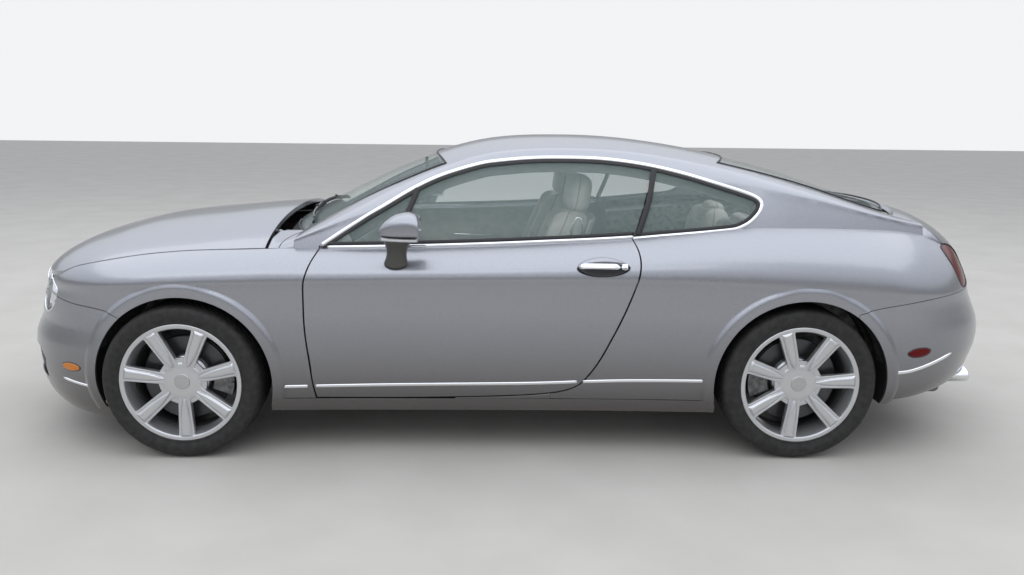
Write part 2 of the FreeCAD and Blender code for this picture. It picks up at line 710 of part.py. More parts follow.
for a, b in (bonnet_knuckle_y, (-bonnet_knuckle_y[1], -bonnet_knuckle_y[0])):
    boss, bore = hinge_boss(bonnet_hinge_x, bonnet_hinge_z, a, b, 15, 8)
    web = fuse([box(bonnet_hinge_x - 60, bonnet_hinge_x, a, b, bonnet_hinge_z - 8, bonnet_hinge_z + 6),
                box(bonnet_hinge_x - 60, bonnet_hinge_x - 12, a, b, bonnet_hinge_z - 8, bonnet_hinge_z + 19)])
    room = fuse([box(bonnet_hinge_x - 24, bonnet_hinge_x + 20, a - 31, a - 4, bonnet_hinge_z - 40, bonnet_hinge_z + 18),
                 box(bonnet_hinge_x - 24, bonnet_hinge_x + 20, b + 4, b + 31, bonnet_hinge_z - 40, bonnet_hinge_z + 18)])
    bonnet = bonnet.cut(room).fuse([boss, web]).cut(bore)
save("bonnet", bonnet)

# ---------------------------------------------------------------- boot lid
# centre x, centre z, edge x, edge y, edge z
BOOT = [(1925, 1082, 1800, 572, 1074), (1995, 1064, 1880, 612, 1048), (2070, 1034, 1950, 640, 1008),
        (2122, 1008, 2005, 650, 962), (2158, 985, 2046, 645, 926)]
outer = []
for xc, zc, xe, ye, ze in BOOT:
    row = []
    for j in range(17):
        u = -1 + j / 8.0
        row.append(V(xc + (xe - xc) * abs(u) ** 2.2, u * ye, zc + (ze - zc) * abs(u) ** 2.6))
    outer.append(row)
for zc, ye, ze in ((940, 625, 890), (890, 580, 858), (840, 530, 826), (790, 494, 786), (768, 490, 766)):
    row = []
    for j in range(17):
        u = -1 + j / 8.0
        z = zc + (ze - zc) * abs(u) ** 2.6
        y = u * ye
        row.append(V(tail_x(y, z), y, z))
    outer.append(row)
boot_skin = pushed(outer, -14, 0, -14)
lamp_room = prism(inset(tail_lamp_yz, -630, 852, 1.045), "x", 1950, 2400)
boot_skin = boot_skin.cut(fuse([lamp_room, mirror(lamp_room)]))
boot_knuckle_y = (530.0, 550.0)
boot_lid = boot_skin
for a, b in (boot_knuckle_y, (-boot_knuckle_y[1], -boot_knuckle_y[0])):
    boss, bore = hinge_boss(boot_hinge_x, boot_hinge_z, a, b, 10, 6)
    bx, bz = boot_hinge_x, boot_hinge_z
    web = prism(poly([(bx, bz - 8), (bx, bz + 7), (bx + 30, bz + 6), (bx + 62, bz + 2), (bx + 80, bz - 4), (bx + 80, bz - 14),
                      (bx + 40, bz - 12)]), "y", a, b)
    boot_lid = boot_lid.fuse(fuse([boss, web])).cut(bore)
save("boot_lid", boot_lid)

# ---------------------------------------------------------------- roof with its pillars
def cabin_grid(x0, x1, nx, lift=0.0):
    grid = []
    for x in lin(x0, x1, nx):
        half = cabin_section(x)
        row = [V(x, -y, z) for y, z in half] + [V(x, y, z) for y, z in reversed(half[:-1])]
        grid.append(row)
    return grid


def roof_wall(x):
    # thinner towards the feet of the pillars
    t = min(1.0, max(0.0, min((x + 960) / 450.0, (1900 - x) / 450.0)))
    return 7 + (roof_thickness - 7) * t * t * (3 - 2 * t)


outer = cabin_grid(-960, 1900, 31)
sign = 1 if offset_grid(outer, 1.0)[15][12].z < outer[15][12].z else -1
unit = offset_grid(outer, sign)
inner = [[p.add(q.sub(p).multiply(roof_wall(p.x))) for p, q in zip(ro, ru)] for ro, ru in zip(outer, unit)]
roof = skin_solid(outer, inner)
screen_xy = [[(-1100, -640), (-955, -617)], [(-955, -617), (-900, -614), (-700, -590), (-480, -572), (-300, -560)],
             [(-300, -560), (-345, -300), (-372, 0), (-345, 300), (-300, 560)],
             [(-300, 560), (-480, 572), (-700, 590), (-900, 614), (-955, 617)], [(-955, 617), (-1100, 640)],
             [(-1100, 640), (-1100, -640)]]
screen_prism = prism(screen_xy, "z", 900, 1500)
rear_xy = [[(960, -530), (1040, -270), (1060, 0), (1040, 270), (960, 530)],
           [(960, 530), (1300, 535), (1800, 545), (2000, 545)], [(2000, 545), (2000, -545)],
           [(2000, -545), (1800, -545), (1300, -535), (960, -530)]]
rear_prism = prism(rear_xy, "z", 900, 1500)
window_prism = prism([WINDOW_TOP, WINDOW_BOTTOM], "y", -big, big)
roof = roof.cut(screen_prism).cut(rear_prism).cut(window_prism)
over_door = box(-854, 563, -big, big, 880, 1030)
pillar_foot = prism([WINDOW_TOP[:6] + [(-372, 1220)], [(-372, 1220), (563, 1220)], [(563, 1220), (563, 880)], [(563, 880), (-854, 880)],
                     [(-854, 880), (-854, 944)], [(-854, 944), WINDOW_TOP[0]]], "y", -big, big)
roof = roof.cut(over_door.common(pillar_foot))
boot_plan = prism([[(1772, -586), (1782, -545), (1828, -430), (1872, -260), (1894, 0), (1872, 260), (1828, 430),
                    (1782, 545), (1772, 586)],
                   [(1772, 586), (1868, 630), (2100, 700)], [(2100, 700), (2100, -700)],
                   [(2100, -700), (1868, -630), (1772, -586)]], "z", 800, 1500)
roof = roof.cut(boot_plan)
save("roof", roof)

# glass
def top_glass(x0, x1, nx, half, drop, thick=glass * 1.4):
    grid = [[V(x, y, crest(x, y) - drop) for y in lin(-half, half, 13)] for x in lin(x0, x1, nx)]
    return pushed(grid, 0, 0, -thick)


screen_face = [[(-1045, 0), (-1030, -330), (-955, -612)], [(-955, -612), (-900, -609), (-700, -585), (-480, -567), (-305, -556)],
               [(-305, -556), (-350, -300), (-377, 0), (-350, 300), (-305, 556)],
               [(-305, 556), (-480, 567), (-700, 585), (-900, 609), (-955, 612)], [(-955, 612), (-1030, 330), (-1045, 0)]]
windscreen = top_glass(-1060, -280, 13, 630, 3).common(prism(screen_face, "z", 900, 1500))
save("windscreen", windscreen)
rear_face = [[(965, -526), (1045, -270), (1064, 0), (1045, 270), (965, 526)],
             [(965, 526), (1300, 531), (1755, 541)], [(1755, 541), (1845, 300), (1885, 0), (1845, -300), (1755, -541)],
             [(1755, -541), (1300, -531), (965, -526)]]
rear_window = top_glass(940, 1925, 13, 560, 3).common(prism(rear_face, "z", 900, 1500))
save("rear_window", rear_window)

grid = []
for x in lin(-860, 1140, 21):
    row = []
    for z in lin(925, 1335, 7):
        row.append(V(x, -window_y(x, z) + 3, z))
    grid.append(row)
side_glass = pushed(grid, 0, glass, 0)


def lowered(points, g):
    # outline moved inwards by g, for points that run to the right along the top
    out = []
    n = len(points)
    for i in range(n):
        a, b = points[max(0, i - 1)], points[min(n - 1, i + 1)]
        d = math.hypot(b[0] - a[0], b[1] - a[1])
        out.append((points[i][0] + g * (b[1] - a[1]) / d, points[i][1] - g * (b[0] - a[0]) / d))
    return out


split_line = [(555, 880), (555, 1000), (603, 1147), (634, 1273), (643, 1400)]
before = [(x - shut_gap, z) for x, z in split_line]
top_line = lowered(WINDOW_TOP, shut_gap)
belt_line = [(x, curve_at(BELT, x) + seat_gap) for x in lin(-832, 560, 12)]
door_zone = prism([top_line, [top_line[-1], (1140, 900)], [(1140, 900), (560, 900)], [(560, 900), belt_line[-1]],
                   belt_line[::-1], [belt_line[0], top_line[0]]], "y", -big, big)
behind = prism(poly([(before[0])] + before[1:] + [(1300, 1400), (1300, 880)]), "y", -big, big)
door_glass = side_glass.common(door_zone).cut(behind)
fixed_zone = prism(inset([WINDOW_TOP, WINDOW_BOTTOM], 850.0, 1130.0, 1.0), "y", -big, big)
tight_top = lowered(WINDOW_TOP, seat_gap)
tight_bottom = lowered(WINDOW_BOTTOM, seat_gap)
tight_bottom[0] = tight_top[-1]
tight_bottom[-1] = tight_top[0]
fixed_zone = prism([tight_top, tight_bottom], "y", -big, big)
quarter_glass = side_glass.common(fixed_zone).common(prism(poly([split_line[0]] + split_line[1:] + [(1300, 1400), (1300, 880)]),
                                                          "y", -big, big))
save_pair("door_glass", door_glass)
save_pair("quarter_glass", quarter_glass)

# ---------------------------------------------------------------- lamps and grille
def nose_slab(z0, z1, drop, thick):
    g = []
    for z in lin(z0, z1, 7):
        row = []
        for k in range(33):
            a = math.radians(-85 + 170.0 * k / 32.0)
            s = abs(math.sin(a)) ** (2 / plan_power)
            c = abs(math.cos(a)) ** (2 / plan_power)
            x = curve_at(NOSE, z) + nose_depth * (1 - c)
            y = half_width(x, z) * s * (1 if a > 0 else -1)
            row.append(V(x + drop, y, z))
        g.append(row)
    return pushed(g, thick, 0, 0)


slab = nose_slab(560, 738, 2, 60)
lamp = slab.common(fuse([Part.makeCylinder(104 - seat_gap, 500, V(-2420, -470, 672), V(1, 0, 0)),
                         Part.makeCylinder(80 - seat_gap, 500, V(-2420, -668, 690), V(1, 0, 0))]))
save_pair("headlamp", lamp)
frame = nose_slab(560, 738, 2, 14).common(prism(inset(grille_yz, 0, 670, 0.999), "x", -2420, -2050))
hole = prism(inset(grille_yz, 0, 668, 0.90), "x", -2420, -2050)
bars = []
for k in range(-12, 13):
    for tilt in (45, -45):
        strip = Part.makeBox(400, 600, 5, V(-2420, -300, -2.5))
        strip.rotate(V(0, 0, 0), V(1, 0, 0), tilt)
        strip.translate(V(0, k * 56.0, 668))
        bars.append(strip)
mesh = nose_slab(560, 738, 8, 5).common(prism(inset(grille_yz, 0, 669, 0.95), "x", -2420, -2050))
mesh = mesh.common(bars[0].fuse(bars[1:]))
frame = frame.cut(hole).fuse(mesh)
save("grille", frame)

tail_pts = []
for z in lin(750, 955, 8):
    tail_pts.append([V(tail_x(y, z) - 3, y, z) for y in lin(-480, -775, 9)])
tail_lamp = pushed(tail_pts, -60, 0, 0).common(
    prism(inset(tail_lamp_yz, -630, 852, 0.997), "x", 1950, 2400))
save_pair("tail_lamp", tail_lamp)

# ---------------------------------------------------------------- wheels, one at the front left, copied round
def tyre_solid():
    r, w, b = tyre_radius, tyre_width / 2, rim_radius + 1 + seat_gap
    half = [(b, 18), (269, 18), (273, 9), (300, 0), (r - 26, 3), (r - 8, 15), (r - 1, 34), (r, 60)]
    prof = [(rr, -w + y) for rr, y in half] + [(rr, w - y) for rr, y in reversed(half)]
    wire = Part.makePolygon([V(0, y, rr) for rr, y in prof] + [V(0, prof[0][1], prof[0][0])])
    return Part.Face(wire).revolve(V(0, 0, 0), V(0, 1, 0), 360)


def rim_solid(angle0):
    # outboard side towards -Y
    w = tyre_width / 2
    prof = [(rim_radius + 1, -w + 17.5), (rim_radius + 13, -w + 17.5), (rim_radius + 13, -w + 9), (rim_radius - 6, -w + 10),
            (rim_radius - 16, -w + 32), (231, -50), (231, w - 32), (rim_radius - 8, w - 10), (rim_radius + 13, w - 9),
            (rim_radius + 13, w - 17.5), (rim_radius + 1, w - 17.5), (rim_radius - 8, w - 44), (rim_radius - 8, -w + 44)]
    wire = Part.makePolygon([V(0, y, rr) for rr, y in prof] + [V(0, prof[0][1], prof[0][0])])
    barrel = Part.Face(wire).revolve(V(0, 0, 0), V(0, 1, 0), 360)
    hub = cyl(92, 0, 0, -w + 34, -44)
    disc = cyl(disc_radius, 0, 0, -36.5, -2.5).cut(cyl(112, 0, 0, -40, 0))
    bell = cyl(112.5, 0, 0, -45, -2.5).cut(cyl(104, 0, 0, -38, 0))
    parts = [barrel, hub, disc, bell]
    base_side = [(60, -w + 32), (236, -w + 14), (244, -w + 44), (232, -w + 52), (60, -w + 74)]
    base_plan = [(50, 0, -27), (250, 0, -38), (250, 0, 38), (50, 0, 27)]
    leaf_side = [(76, -w + 27), (236, -w + 8), (240, -w + 30), (76, -w + 46)]
    leaf_plan = [(76, 0, 0), (84, 0, -9), (104, 0, -15), (140, 0, -19), (240, 0, -22), (240, 0, 22), (140, 0, 19), (104, 0, 15), (84, 0, 9)]
    for k in range(spokes):
        for side, plan in ((base_side, base_plan), (leaf_side, leaf_plan)):
            slab = Part.Face(Part.makePolygon([V(rr, y, -40) for rr, y in side + side[:1]])).extrude(V(0, 0, 80))
            form = Part.Face(Part.makePolygon([V(rr, -200, q) for rr, o, q in plan + plan[:1]])).extrude(V(0, 400, 0))
            arm = slab.common(form)
            arm.rotate(V(0, 0, 0), V(0, 1, 0), -angle0 - 360.0 * k / spokes)
            parts.append(arm)
    return fuse(parts).cut(cyl(stub_radius + pin_gap, 0, 0, -70, 0))


tyre = tyre_solid()
rim_f = rim_solid(-87)
rim_r = rim_solid(-98)
for tag, ax, tr, rim in (("front", axle_front, track_front, rim_f), ("rear", axle_rear, track_rear, rim_r)):
    at = V(ax, -tr / 2, tyre_radius)
    for nm, s in (("tyre_" + tag, tyre), ("rim_" + tag, rim)):
        p = s.copy()
        p.translate(at)
        save_pair(nm, p)

# knuckle with its stub and caliper
def caliper(side):
    ring = cyl(216, 0, 0, -62, 24).cut(cyl(128, 0, 0, -80, 40)).cut(cyl(196, 0, 0, -42.5, 3.5))
    wedge = Part.Face(Part.makePolygon([V(0, -90, 0), V(side * 300, -90, -110), V(side * 300, -90, 110),
                                        V(0, -90, 0)])).extrude(V(0, 150, 0))
    return ring.common(wedge)


king = track_front / 2 - kingpin_y
upright = fuse([cyl(stub_radius, 0, 0, -66, 30), box(-36, 36, 5, 60, -95, 95), box(0, 170, 30, 44, -34, 34),
                box(128, 200, 4, 44, -34, 34), caliper(1)])
pin_bore = Part.makeCylinder(12 + pin_gap, 300, V(0, king, -150))
mid = Part.makeCylinder(13, 110, V(0, king, -55))
knuckle = upright.cut(pin_bore.cut(mid))
knuckle.translate(V(axle_front, -track_front / 2, tyre_radius))
save_pair("knuckle", knuckle)

carrier = fuse([cyl(stub_radius, 0, 0, -66, 30), box(-36, 36, 5, 60, -80, 80), box(-170, 0, 30, 44, -34, 34),
                box(-200, -128, 4, 44, -34, 34), caliper(-1)])
carrier.translate(V(axle_rear, -track_rear / 2, tyre_radius))

# ---------------------------------------------------------------- under the body
fx = firewall_x
floor_y = 760 - seat_gap
floor = box(fx, 720, -floor_y, floor_y, floor_top - floor_wall, floor_top)
tunnel = box(fx + 30, 700, -150, 150, floor_top, 380)
tunnel_bore = box(fx - 10, 701, -130, 130, 160, 360)
rear_floor = box(695, 1240, -600, 600, 310, 335)
heel = box(695, 720, -600, 600, floor_top, 335)
side_foot = fuse([box(600, 900, -floor_y, -600, floor_top - floor_wall, floor_top), box(600, 900, 600, floor_y, floor_top - floor_wall, floor_top)])
floor = fuse([floor, tunnel, rear_floor, heel, side_foot]).cut(tunnel_bore).cut(box(690, 730, -60, 60, 150, 290))
save("floor", floor)

wall = box(fx, fx + 25, -742, 742, floor_top + seat_gap, 905)
pillar = box(fx + 25, -850, -742, -660, floor_top + seat_gap, 850)
hinges = []
for z0, z1 in (door_low, door_high):
    hinges.append(Part.makeCylinder(hinge_pin, z1 - z0 - 4, V(hinge_x, -hinge_y, z0 + 2)))
    for za, zb2 in ((z0 + 2, z0 + 14), (z1 - 14, z1 - 2)):
        hinges.append(Part.makeCylinder(12, zb2 - za, V(hinge_x, -hinge_y, za)))
        hinges.append(box(hinge_x - 12, hinge_x + 12, -hinge_y, -690, za, zb2))
        hinges.append(box(-870, hinge_x + 12, -740, -690, za, zb2))
posts = fuse([pillar] + hinges)
firewall = fuse([wall, posts, mirror(posts)])
save("firewall", firewall)

# cowl below the windscreen, with the bonnet's hinge pins
cowl = top_glass(-1060, -280, 13, 630, 3 + glass * 1.4 + seat_gap, 300)
cowl = cowl.common(box(-1058, -950, -620, 620, 905 + seat_gap, 1300))
cowl = cowl.cut(cyl(24, bonnet_hinge_x, bonnet_hinge_z, -612, -548)).cut(cyl(24, bonnet_hinge_x, bonnet_hinge_z, 548, 612))
lugs = []
for sg in (-1, 1):
    lugs.append(cyl(8, bonnet_hinge_x, bonnet_hinge_z, min(sg * 545, sg * 605), max(sg * 545, sg * 605)))
    for a0, a1 in ((540, 555), (600, 612)):
        lo, hi = min(sg * a0, sg * a1), max(sg * a0, sg * a1)
        lugs.append(fuse([cyl(12, bonnet_hinge_x, bonnet_hinge_z, lo, hi),
                          box(bonnet_hinge_x - 8, -1050, lo, hi, bonnet_hinge_z - 30, bonnet_hinge_z),
                          box(-1058, -1040, lo, hi, 906, bonnet_hinge_z - 20)]))
cowl = fuse([cowl] + lugs)
save("cowl", cowl)

# inner wing with the rail that carries the wing
apron = fuse([box(-2120, fx - seat_gap, -apron_y, -apron_y + 20, 300, 760), edge_rail(-1950, fx - seat_gap, 11, 48, 5, 16)])
shelf = rail_shelf(-1950, fx - seat_gap, 11, apron_y - 18, 48, 12)
web = prism([[(x, curve_at(BELT, x) - 56) for x in lin(-1950, fx - seat_gap, 9)],
             [(fx - seat_gap, curve_at(BELT, fx - seat_gap) - 56), (fx - seat_gap, 750)], [(fx - seat_gap, 750), (-1950, 740)],
             [(-1950, 740), (-1950, curve_at(BELT, -1950) - 56)]], "y", -apron_y, -apron_y + 20)
apron = fuse([apron, shelf, web, wheel_liner(axle_front + 8, 346, apron_y - 6, 885, 5, 160)])
save_pair("apron", apron)

rail_y = apron_y - 20 - seat_gap
rail_l = box(-2150, fx - seat_gap, -rail_y, -370, 330, 440)
cross = box(-2150, -2120, -rail_y, rail_y, 330, 440)
panel = fuse([box(-2150, -2122, -rail_y, rail_y, 440, 720).cut(box(-2160, -2110, -360, 360, 460, 690))])
beam = wrap_beam(NOSE, nose_depth, plan_power, 1, 470, 552, 38, 40)
cans = [box(-2280, -2140, -440, -372, 475, 545), box(-2150, -2122, -rail_y, -370, 430, 560)]
front_frame = fuse([rail_l, mirror(rail_l), cross, panel, beam] + cans + [mirror(c) for c in cans])
front_frame = max(seated_behind(front_frame, front_bumper, seat_gap, 0).Solids, key=lambda q: q.Volume)
save("front_frame", front_frame)

engine = rounded(box(-1760, -1090, -300, 300, 290, 800), 30)
mounts = box(-1560, -1480, -(370 - seat_gap), 370 - seat_gap, 370, 420)
engine = engine.fuse(mounts).removeSplitter()
save("engine", engine)

arm_low = tyre_radius - 128
arm_high = tyre_radius + 126
def arm(z, to, pin0, pin1):
    a = box(axle_front - 16, axle_front + 16, -kingpin_y, -to, z - 14, z + 14)
    e = Part.makeCylinder(18, 28, V(axle_front, -kingpin_y, z - 14))
    p = Part.makeCylinder(12, pin1 - pin0, V(axle_front, -kingpin_y, pin0))
    return fuse([a, e, p])


low = arm(arm_low, 380, arm_low, tyre_radius - 56)
high = arm(arm_high, apron_y + seat_gap, tyre_radius + 56, arm_high)
sub = fuse([box(axle_front - 90, axle_front + 90, -400, 400, 190, 240), box(axle_front - 90, axle_front + 90, -430, -380, 190, 330 - seat_gap),
            box(axle_front - 90, axle_front + 90, 380, 430, 190, 330 - seat_gap), low, mirror(low)])
save("front_axle", sub)
save_pair("upper_arm", high)

cross = fuse([box(axle_rear - 60, axle_rear + 60, -560, 560, 215, 285), box(axle_rear - 240, axle_rear - 60, -330, -280, 240, 310 - seat_gap),
              box(axle_rear - 240, axle_rear - 60, 280, 330, 240, 310 - seat_gap),
              box(axle_rear - 30, axle_rear + 30, -track_rear / 2 + 40, track_rear / 2 - 40, 255, 285)])
cross = cross.cut(box(axle_rear - 400, axle_rear + 200, -60, 60, 150, 276))
rear_axle = fuse([cross, carrier, mirror(carrier)])
save("rear_axle", rear_axle)

hang = [box(-300, -260, -20, 20, 230, 360 - seat_gap), box(1900, 1940, -300, -260, 320, 400 - seat_gap),
        box(1900, 1940, 260, 300, 320, 400 - seat_gap)]
pipe = fuse([bar((-700, 0, 225), (1780, 0, 225), 38), rounded(box(1760, 2110, -600, 600, 205, 325), 30)] + hang
            + [oval_bar(72, 38, 2085, 2215, sg * 570, 302) for sg in (-1, 1)])
for sg in (-1, 1):
    pipe = pipe.cut(oval_bar(68, 34, 2125, 2230, sg * 570, 302))
save("exhaust", pipe)

# inner side over the rear wheel, with the rail that carries the quarter panel
wall_lo = floor_top + seat_gap
inner_wall = fuse([box(600, 1240, -side_inner, -side_inner + 20, wall_lo, 900), box(1200, 1900, -side_inner, -side_inner + 20, 380, 900),
                   edge_rail(600, 1760, 13, 50, 6, 16), rail_shelf(600, 1760, 13, side_inner - 18, 50, 12)])
wall_top = prism([[(x, curve_at(BELT, x) - 60) for x in lin(600, 1760, 9)], [(1760, curve_at(BELT, 1760) - 60), (1760, 880)],
                  [(1760, 880), (600, 880)], [(600, 880), (600, curve_at(BELT, 600) - 60)]], "y", -side_inner, -side_inner + 20)
inner_wall = fuse([inner_wall, wall_top, wheel_liner(axle_rear + 2, 349, side_inner - 6, 885, 12, 168)])
save_pair("side_inner", inner_wall)

tub_y = side_inner - 20 - seat_gap
tub = [box(1255, 2130, -tub_y, tub_y, 400, 425), box(1240 + seat_gap, 1262, -tub_y, tub_y, 400, 905),
       box(1240 + seat_gap, 1790, -tub_y, tub_y, 890, 905), box(2110, 2130, -560, 560, 400, 690)]
tub.append(wrap_beam(TAIL, tail_depth, section_power, -1, 480, 560, 42, 40))
for sg in (-1, 1):
    tub.append(box(2120, 2300, min(sg * 380, sg * 440), max(sg * 380, sg * 440), 485, 555))
flange = top_glass(940, 1925, 13, 560, 3 + glass * 1.4 + seat_gap, 10)
flange = flange.common(prism([[(1715, -520), (1800, -300), (1842, 0), (1800, 300), (1715, 520)], [(1715, 520), (1758, 535)],
                              [(1758, 535), (1843, 300), (1882, 0), (1843, -300), (1758, -535)], [(1758, -535), (1715, -520)]],
                             "z", 900, 1400))
tub.append(flange)
for sg in (-1, 1):
    lo, hi = min(sg * 480, sg * 520), max(sg * 480, sg * 520)
    tub.append(box(1735, 1765, lo, hi, 900, 1082))
    lo2, hi2 = min(sg * 508, sg * 524), max(sg * 508, sg * 524)
    tub.append(fuse([box(1755, 1810, lo2, hi2, 890, 1054), cyl(8.4, boot_hinge_x, boot_hinge_z, lo2, hi2)]))
    tub.append(cyl(6, boot_hinge_x, boot_hinge_z, min(sg * 510, sg * 551), max(sg * 510, sg * 551)))
tub = seated_behind(seated_behind(fuse(tub), rear_bumper, -seat_gap, 0), rear_window, 0, -seat_gap)
save("boot_tub", tub)

# ---------------------------------------------------------------- cabin
def seat(x, y, w):
    rails = [box(x - 200, x + 200, y - 180, y - 150, floor_top + seat_gap, 270), box(x - 200, x + 200, y + 150, y + 180, floor_top + seat_gap, 270)]
    base = rounded(box(x - 250, x + 260, y - w / 2, y + w / 2, 260, 480), 40)
    back = Part.Face(Part.makePolygon([V(x + 180, y - w / 2, 400), V(x + 320, y - w / 2, 400), V(x + 560, y - w / 2, 1080),
                                       V(x + 440, y - w / 2, 1090), V(x + 180, y - w / 2, 400)])).extrude(V(0, w, 0))
    back = rounded(back, 35)
    head = rounded(box(x + 440, x + 560, y - 130, y + 130, 1075, 1230), 40)
    return fuse([base, back, head] + rails)


seat_l = seat(-230, -400, 480)
save_pair("seat", seat_l)
rear_seat = fuse([rounded(box(735, 1180, -580, 580, 335 + seat_gap, 560), 30), rounded(box(1060, 1240 - seat_gap, -580, 580, 480, 1040), 30)])
save("rear_seat", rear_seat)
dx = firewall_x + 25 + seat_gap
dash = Part.Face(Part.makePolygon([V(dx, -640, 520), V(-720, -640, 560), V(-660, -640, 720), V(-700, -640, 875),
                                   V(dx, -640, 895), V(dx, -640, 520)])).extrude(V(0, 1280, 0))
tilt = 25.0
wheel_at = V(-520, -370, 800)
away = V(-math.cos(math.radians(tilt)), 0, -math.sin(math.radians(tilt)))
column = Part.makeCylinder(26, 190, wheel_at.add(V(away.x * 30, 0, away.z * 30)), away)
spindle = Part.makeCylinder(10, 60, wheel_at.add(V(-away.x * 18, 0, -away.z * 18)), away)
dash = fuse([dash, column, spindle])
save("dashboard", dash)
console = rounded(box(-640, 640, -120, 120, 380 + seat_gap, 560), 25)
save("console", console)
ring = Part.makeTorus(182, 16, V(0, 0, 0), V(1, 0, 0))
wheel_hub = Part.makeCylinder(60, 40, V(-20, 0, 0), V(1, 0, 0))
arms = fuse([box(-8, 8, -182, 182, -14, 14), box(-8, 8, -14, 14, -182, 0)])
steer = fuse([ring, wheel_hub, arms]).cut(Part.makeCylinder(10 + pin_gap, 80, V(-40, 0, 0), V(1, 0, 0)))
steer.rotate(V(0, 0, 0), V(0, 1, 0), -tilt)
steer.translate(wheel_at)
save("steering_wheel", steer)

# mirrors and handles, left hand
head = ellipsoid(96, 92, 60, (-472, -958, 1052)).cut(box(-402, -300, -1100, -800, 900, 1200))
head = head.cut(ellipsoid(40, 80, 48, (-402, -958, 1052)))
mirror_glass = ellipsoid(30, 78, 46, (-412, -958, 1052)).common(box(-460, -408, -1100, -800, 900, 1200))
strip = ellipsoid(100, 90, 26, (-474, -956, 1006)).cut(box(-404, -300, -1100, -800, 900, 1200))
ring0 = stretched(Part.makeCircle(1.0), 56, 20, 1, (-505, -912, 925))
ring1 = stretched(Part.makeCircle(1.0), 50, 34, 1, (-492, -926, 1000))
foot = Part.makeLoft([Part.Wire(ring0), Part.Wire(ring1)], True)
foot_low = box(-547, -463, -928, -868, 868, 930)
door_near = door.copy()
door_near.translate(V(0, -seat_gap, 0))
door_over = door.copy()
door_over.translate(V(0, 0, seat_gap))
mirror_arm = fuse([head, mirror_glass, strip, foot, foot_low]).cut(door_near).cut(door_over)
mirror_arm = mirror_arm.cut(box(-700, -300, -870, -500, 850, 1200))
save_pair("mirror", mirror_arm)
handle_x0, handle_x1, handle_z = 292.0, 498.0, 874.0
arc = Part.Arc(V(handle_x0, -(side_y(handle_x0, handle_z) - 4), handle_z), V(395, -(side_y(395, handle_z) + 16), handle_z),
               V(handle_x1, -(side_y(handle_x1, handle_z) - 4), handle_z)).toShape()
section = stretched(Part.makeCircle(1.0), 6, 13, 1, (0, 0, 0))
section.rotate(V(0, 0, 0), V(0, 1, 0), 90)
section.rotate(V(0, 0, 0), V(1, 0, 0), 90)
section.translate(arc.Vertexes[0].Point)
handle = Part.Wire(arc).makePipeShell([Part.Wire(section)], True, True)
save_pair("handle", handle.cut(door_near))

print("parts", len(names))
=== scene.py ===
# %% [markdown]
# # A silver grand touring coupe, dressed on its CAD frame
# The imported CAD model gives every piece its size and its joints. This lesson adds what a
# camera sees: metallic paint, glass, chrome, tread, spokes, leather. Each new surface is a
# function of two parameters, worked out as one numpy array and then put into a mesh.
# Places are millimetres on the car: X runs backwards, Y to the right, Z up from the floor.

import math

import bmesh
import bpy
import numpy as np
from mathutils import Matrix, Vector


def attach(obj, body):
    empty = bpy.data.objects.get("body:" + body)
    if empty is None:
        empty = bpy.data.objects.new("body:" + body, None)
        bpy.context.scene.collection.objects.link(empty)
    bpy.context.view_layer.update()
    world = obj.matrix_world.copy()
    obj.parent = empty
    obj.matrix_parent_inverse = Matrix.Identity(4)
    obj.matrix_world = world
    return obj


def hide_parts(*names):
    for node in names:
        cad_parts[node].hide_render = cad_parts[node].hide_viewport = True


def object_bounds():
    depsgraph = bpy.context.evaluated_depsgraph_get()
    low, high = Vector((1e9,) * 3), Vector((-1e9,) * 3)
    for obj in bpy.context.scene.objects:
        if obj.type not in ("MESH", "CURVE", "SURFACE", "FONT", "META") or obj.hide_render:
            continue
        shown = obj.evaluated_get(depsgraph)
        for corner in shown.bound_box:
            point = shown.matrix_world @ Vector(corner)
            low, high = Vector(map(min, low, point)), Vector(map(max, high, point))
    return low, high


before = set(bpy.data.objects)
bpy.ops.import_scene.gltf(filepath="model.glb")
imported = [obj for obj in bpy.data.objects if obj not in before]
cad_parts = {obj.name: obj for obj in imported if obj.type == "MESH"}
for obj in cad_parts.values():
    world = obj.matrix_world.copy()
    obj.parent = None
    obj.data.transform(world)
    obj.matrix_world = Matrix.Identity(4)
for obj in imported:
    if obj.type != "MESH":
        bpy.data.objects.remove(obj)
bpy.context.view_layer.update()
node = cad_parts

# %% [markdown]
# ## The camera
# The picture was taken from the left side, slightly above, with a wide lens close to the
# car. The camera's place, its turn and its focal length were found by matching known
# lengths of the car (wheelbase, tyre size) with their pixels, so they are plain numbers here.

# %% Camera
FOCAL_PX, PHOTO_WIDTH_PX, SENSOR_MM = 875.0, 1024, 36.0
CAMERA_AT = (-0.088, -4.642, 1.561)
YAW, PITCH, ROLL = (math.radians(a) for a in (1.34, 11.79, 0.68))
forward = Vector((math.sin(YAW) * math.cos(PITCH), math.cos(YAW) * math.cos(PITCH), -math.sin(PITCH)))
level = Vector((math.cos(YAW), -math.sin(YAW), 0.0))
upright = level.cross(forward)
right = math.cos(ROLL) * level + math.sin(ROLL) * upright
up = math.cos(ROLL) * upright - math.sin(ROLL) * level
camera = bpy.data.objects.new("camera", bpy.data.cameras.new("camera"))
bpy.context.collection.objects.link(camera)
camera.data.sensor_width = SENSOR_MM
camera.data.lens = FOCAL_PX / PHOTO_WIDTH_PX * SENSOR_MM
camera_turn = Matrix((right, up, -forward)).transposed().to_4x4()
camera.matrix_world = Matrix.Translation(CAMERA_AT) @ camera_turn
bpy.context.scene.camera = camera
bpy.context.scene.view_settings.view_transform = "Standard"
print("lens", round(camera.data.lens, 2), "mm")

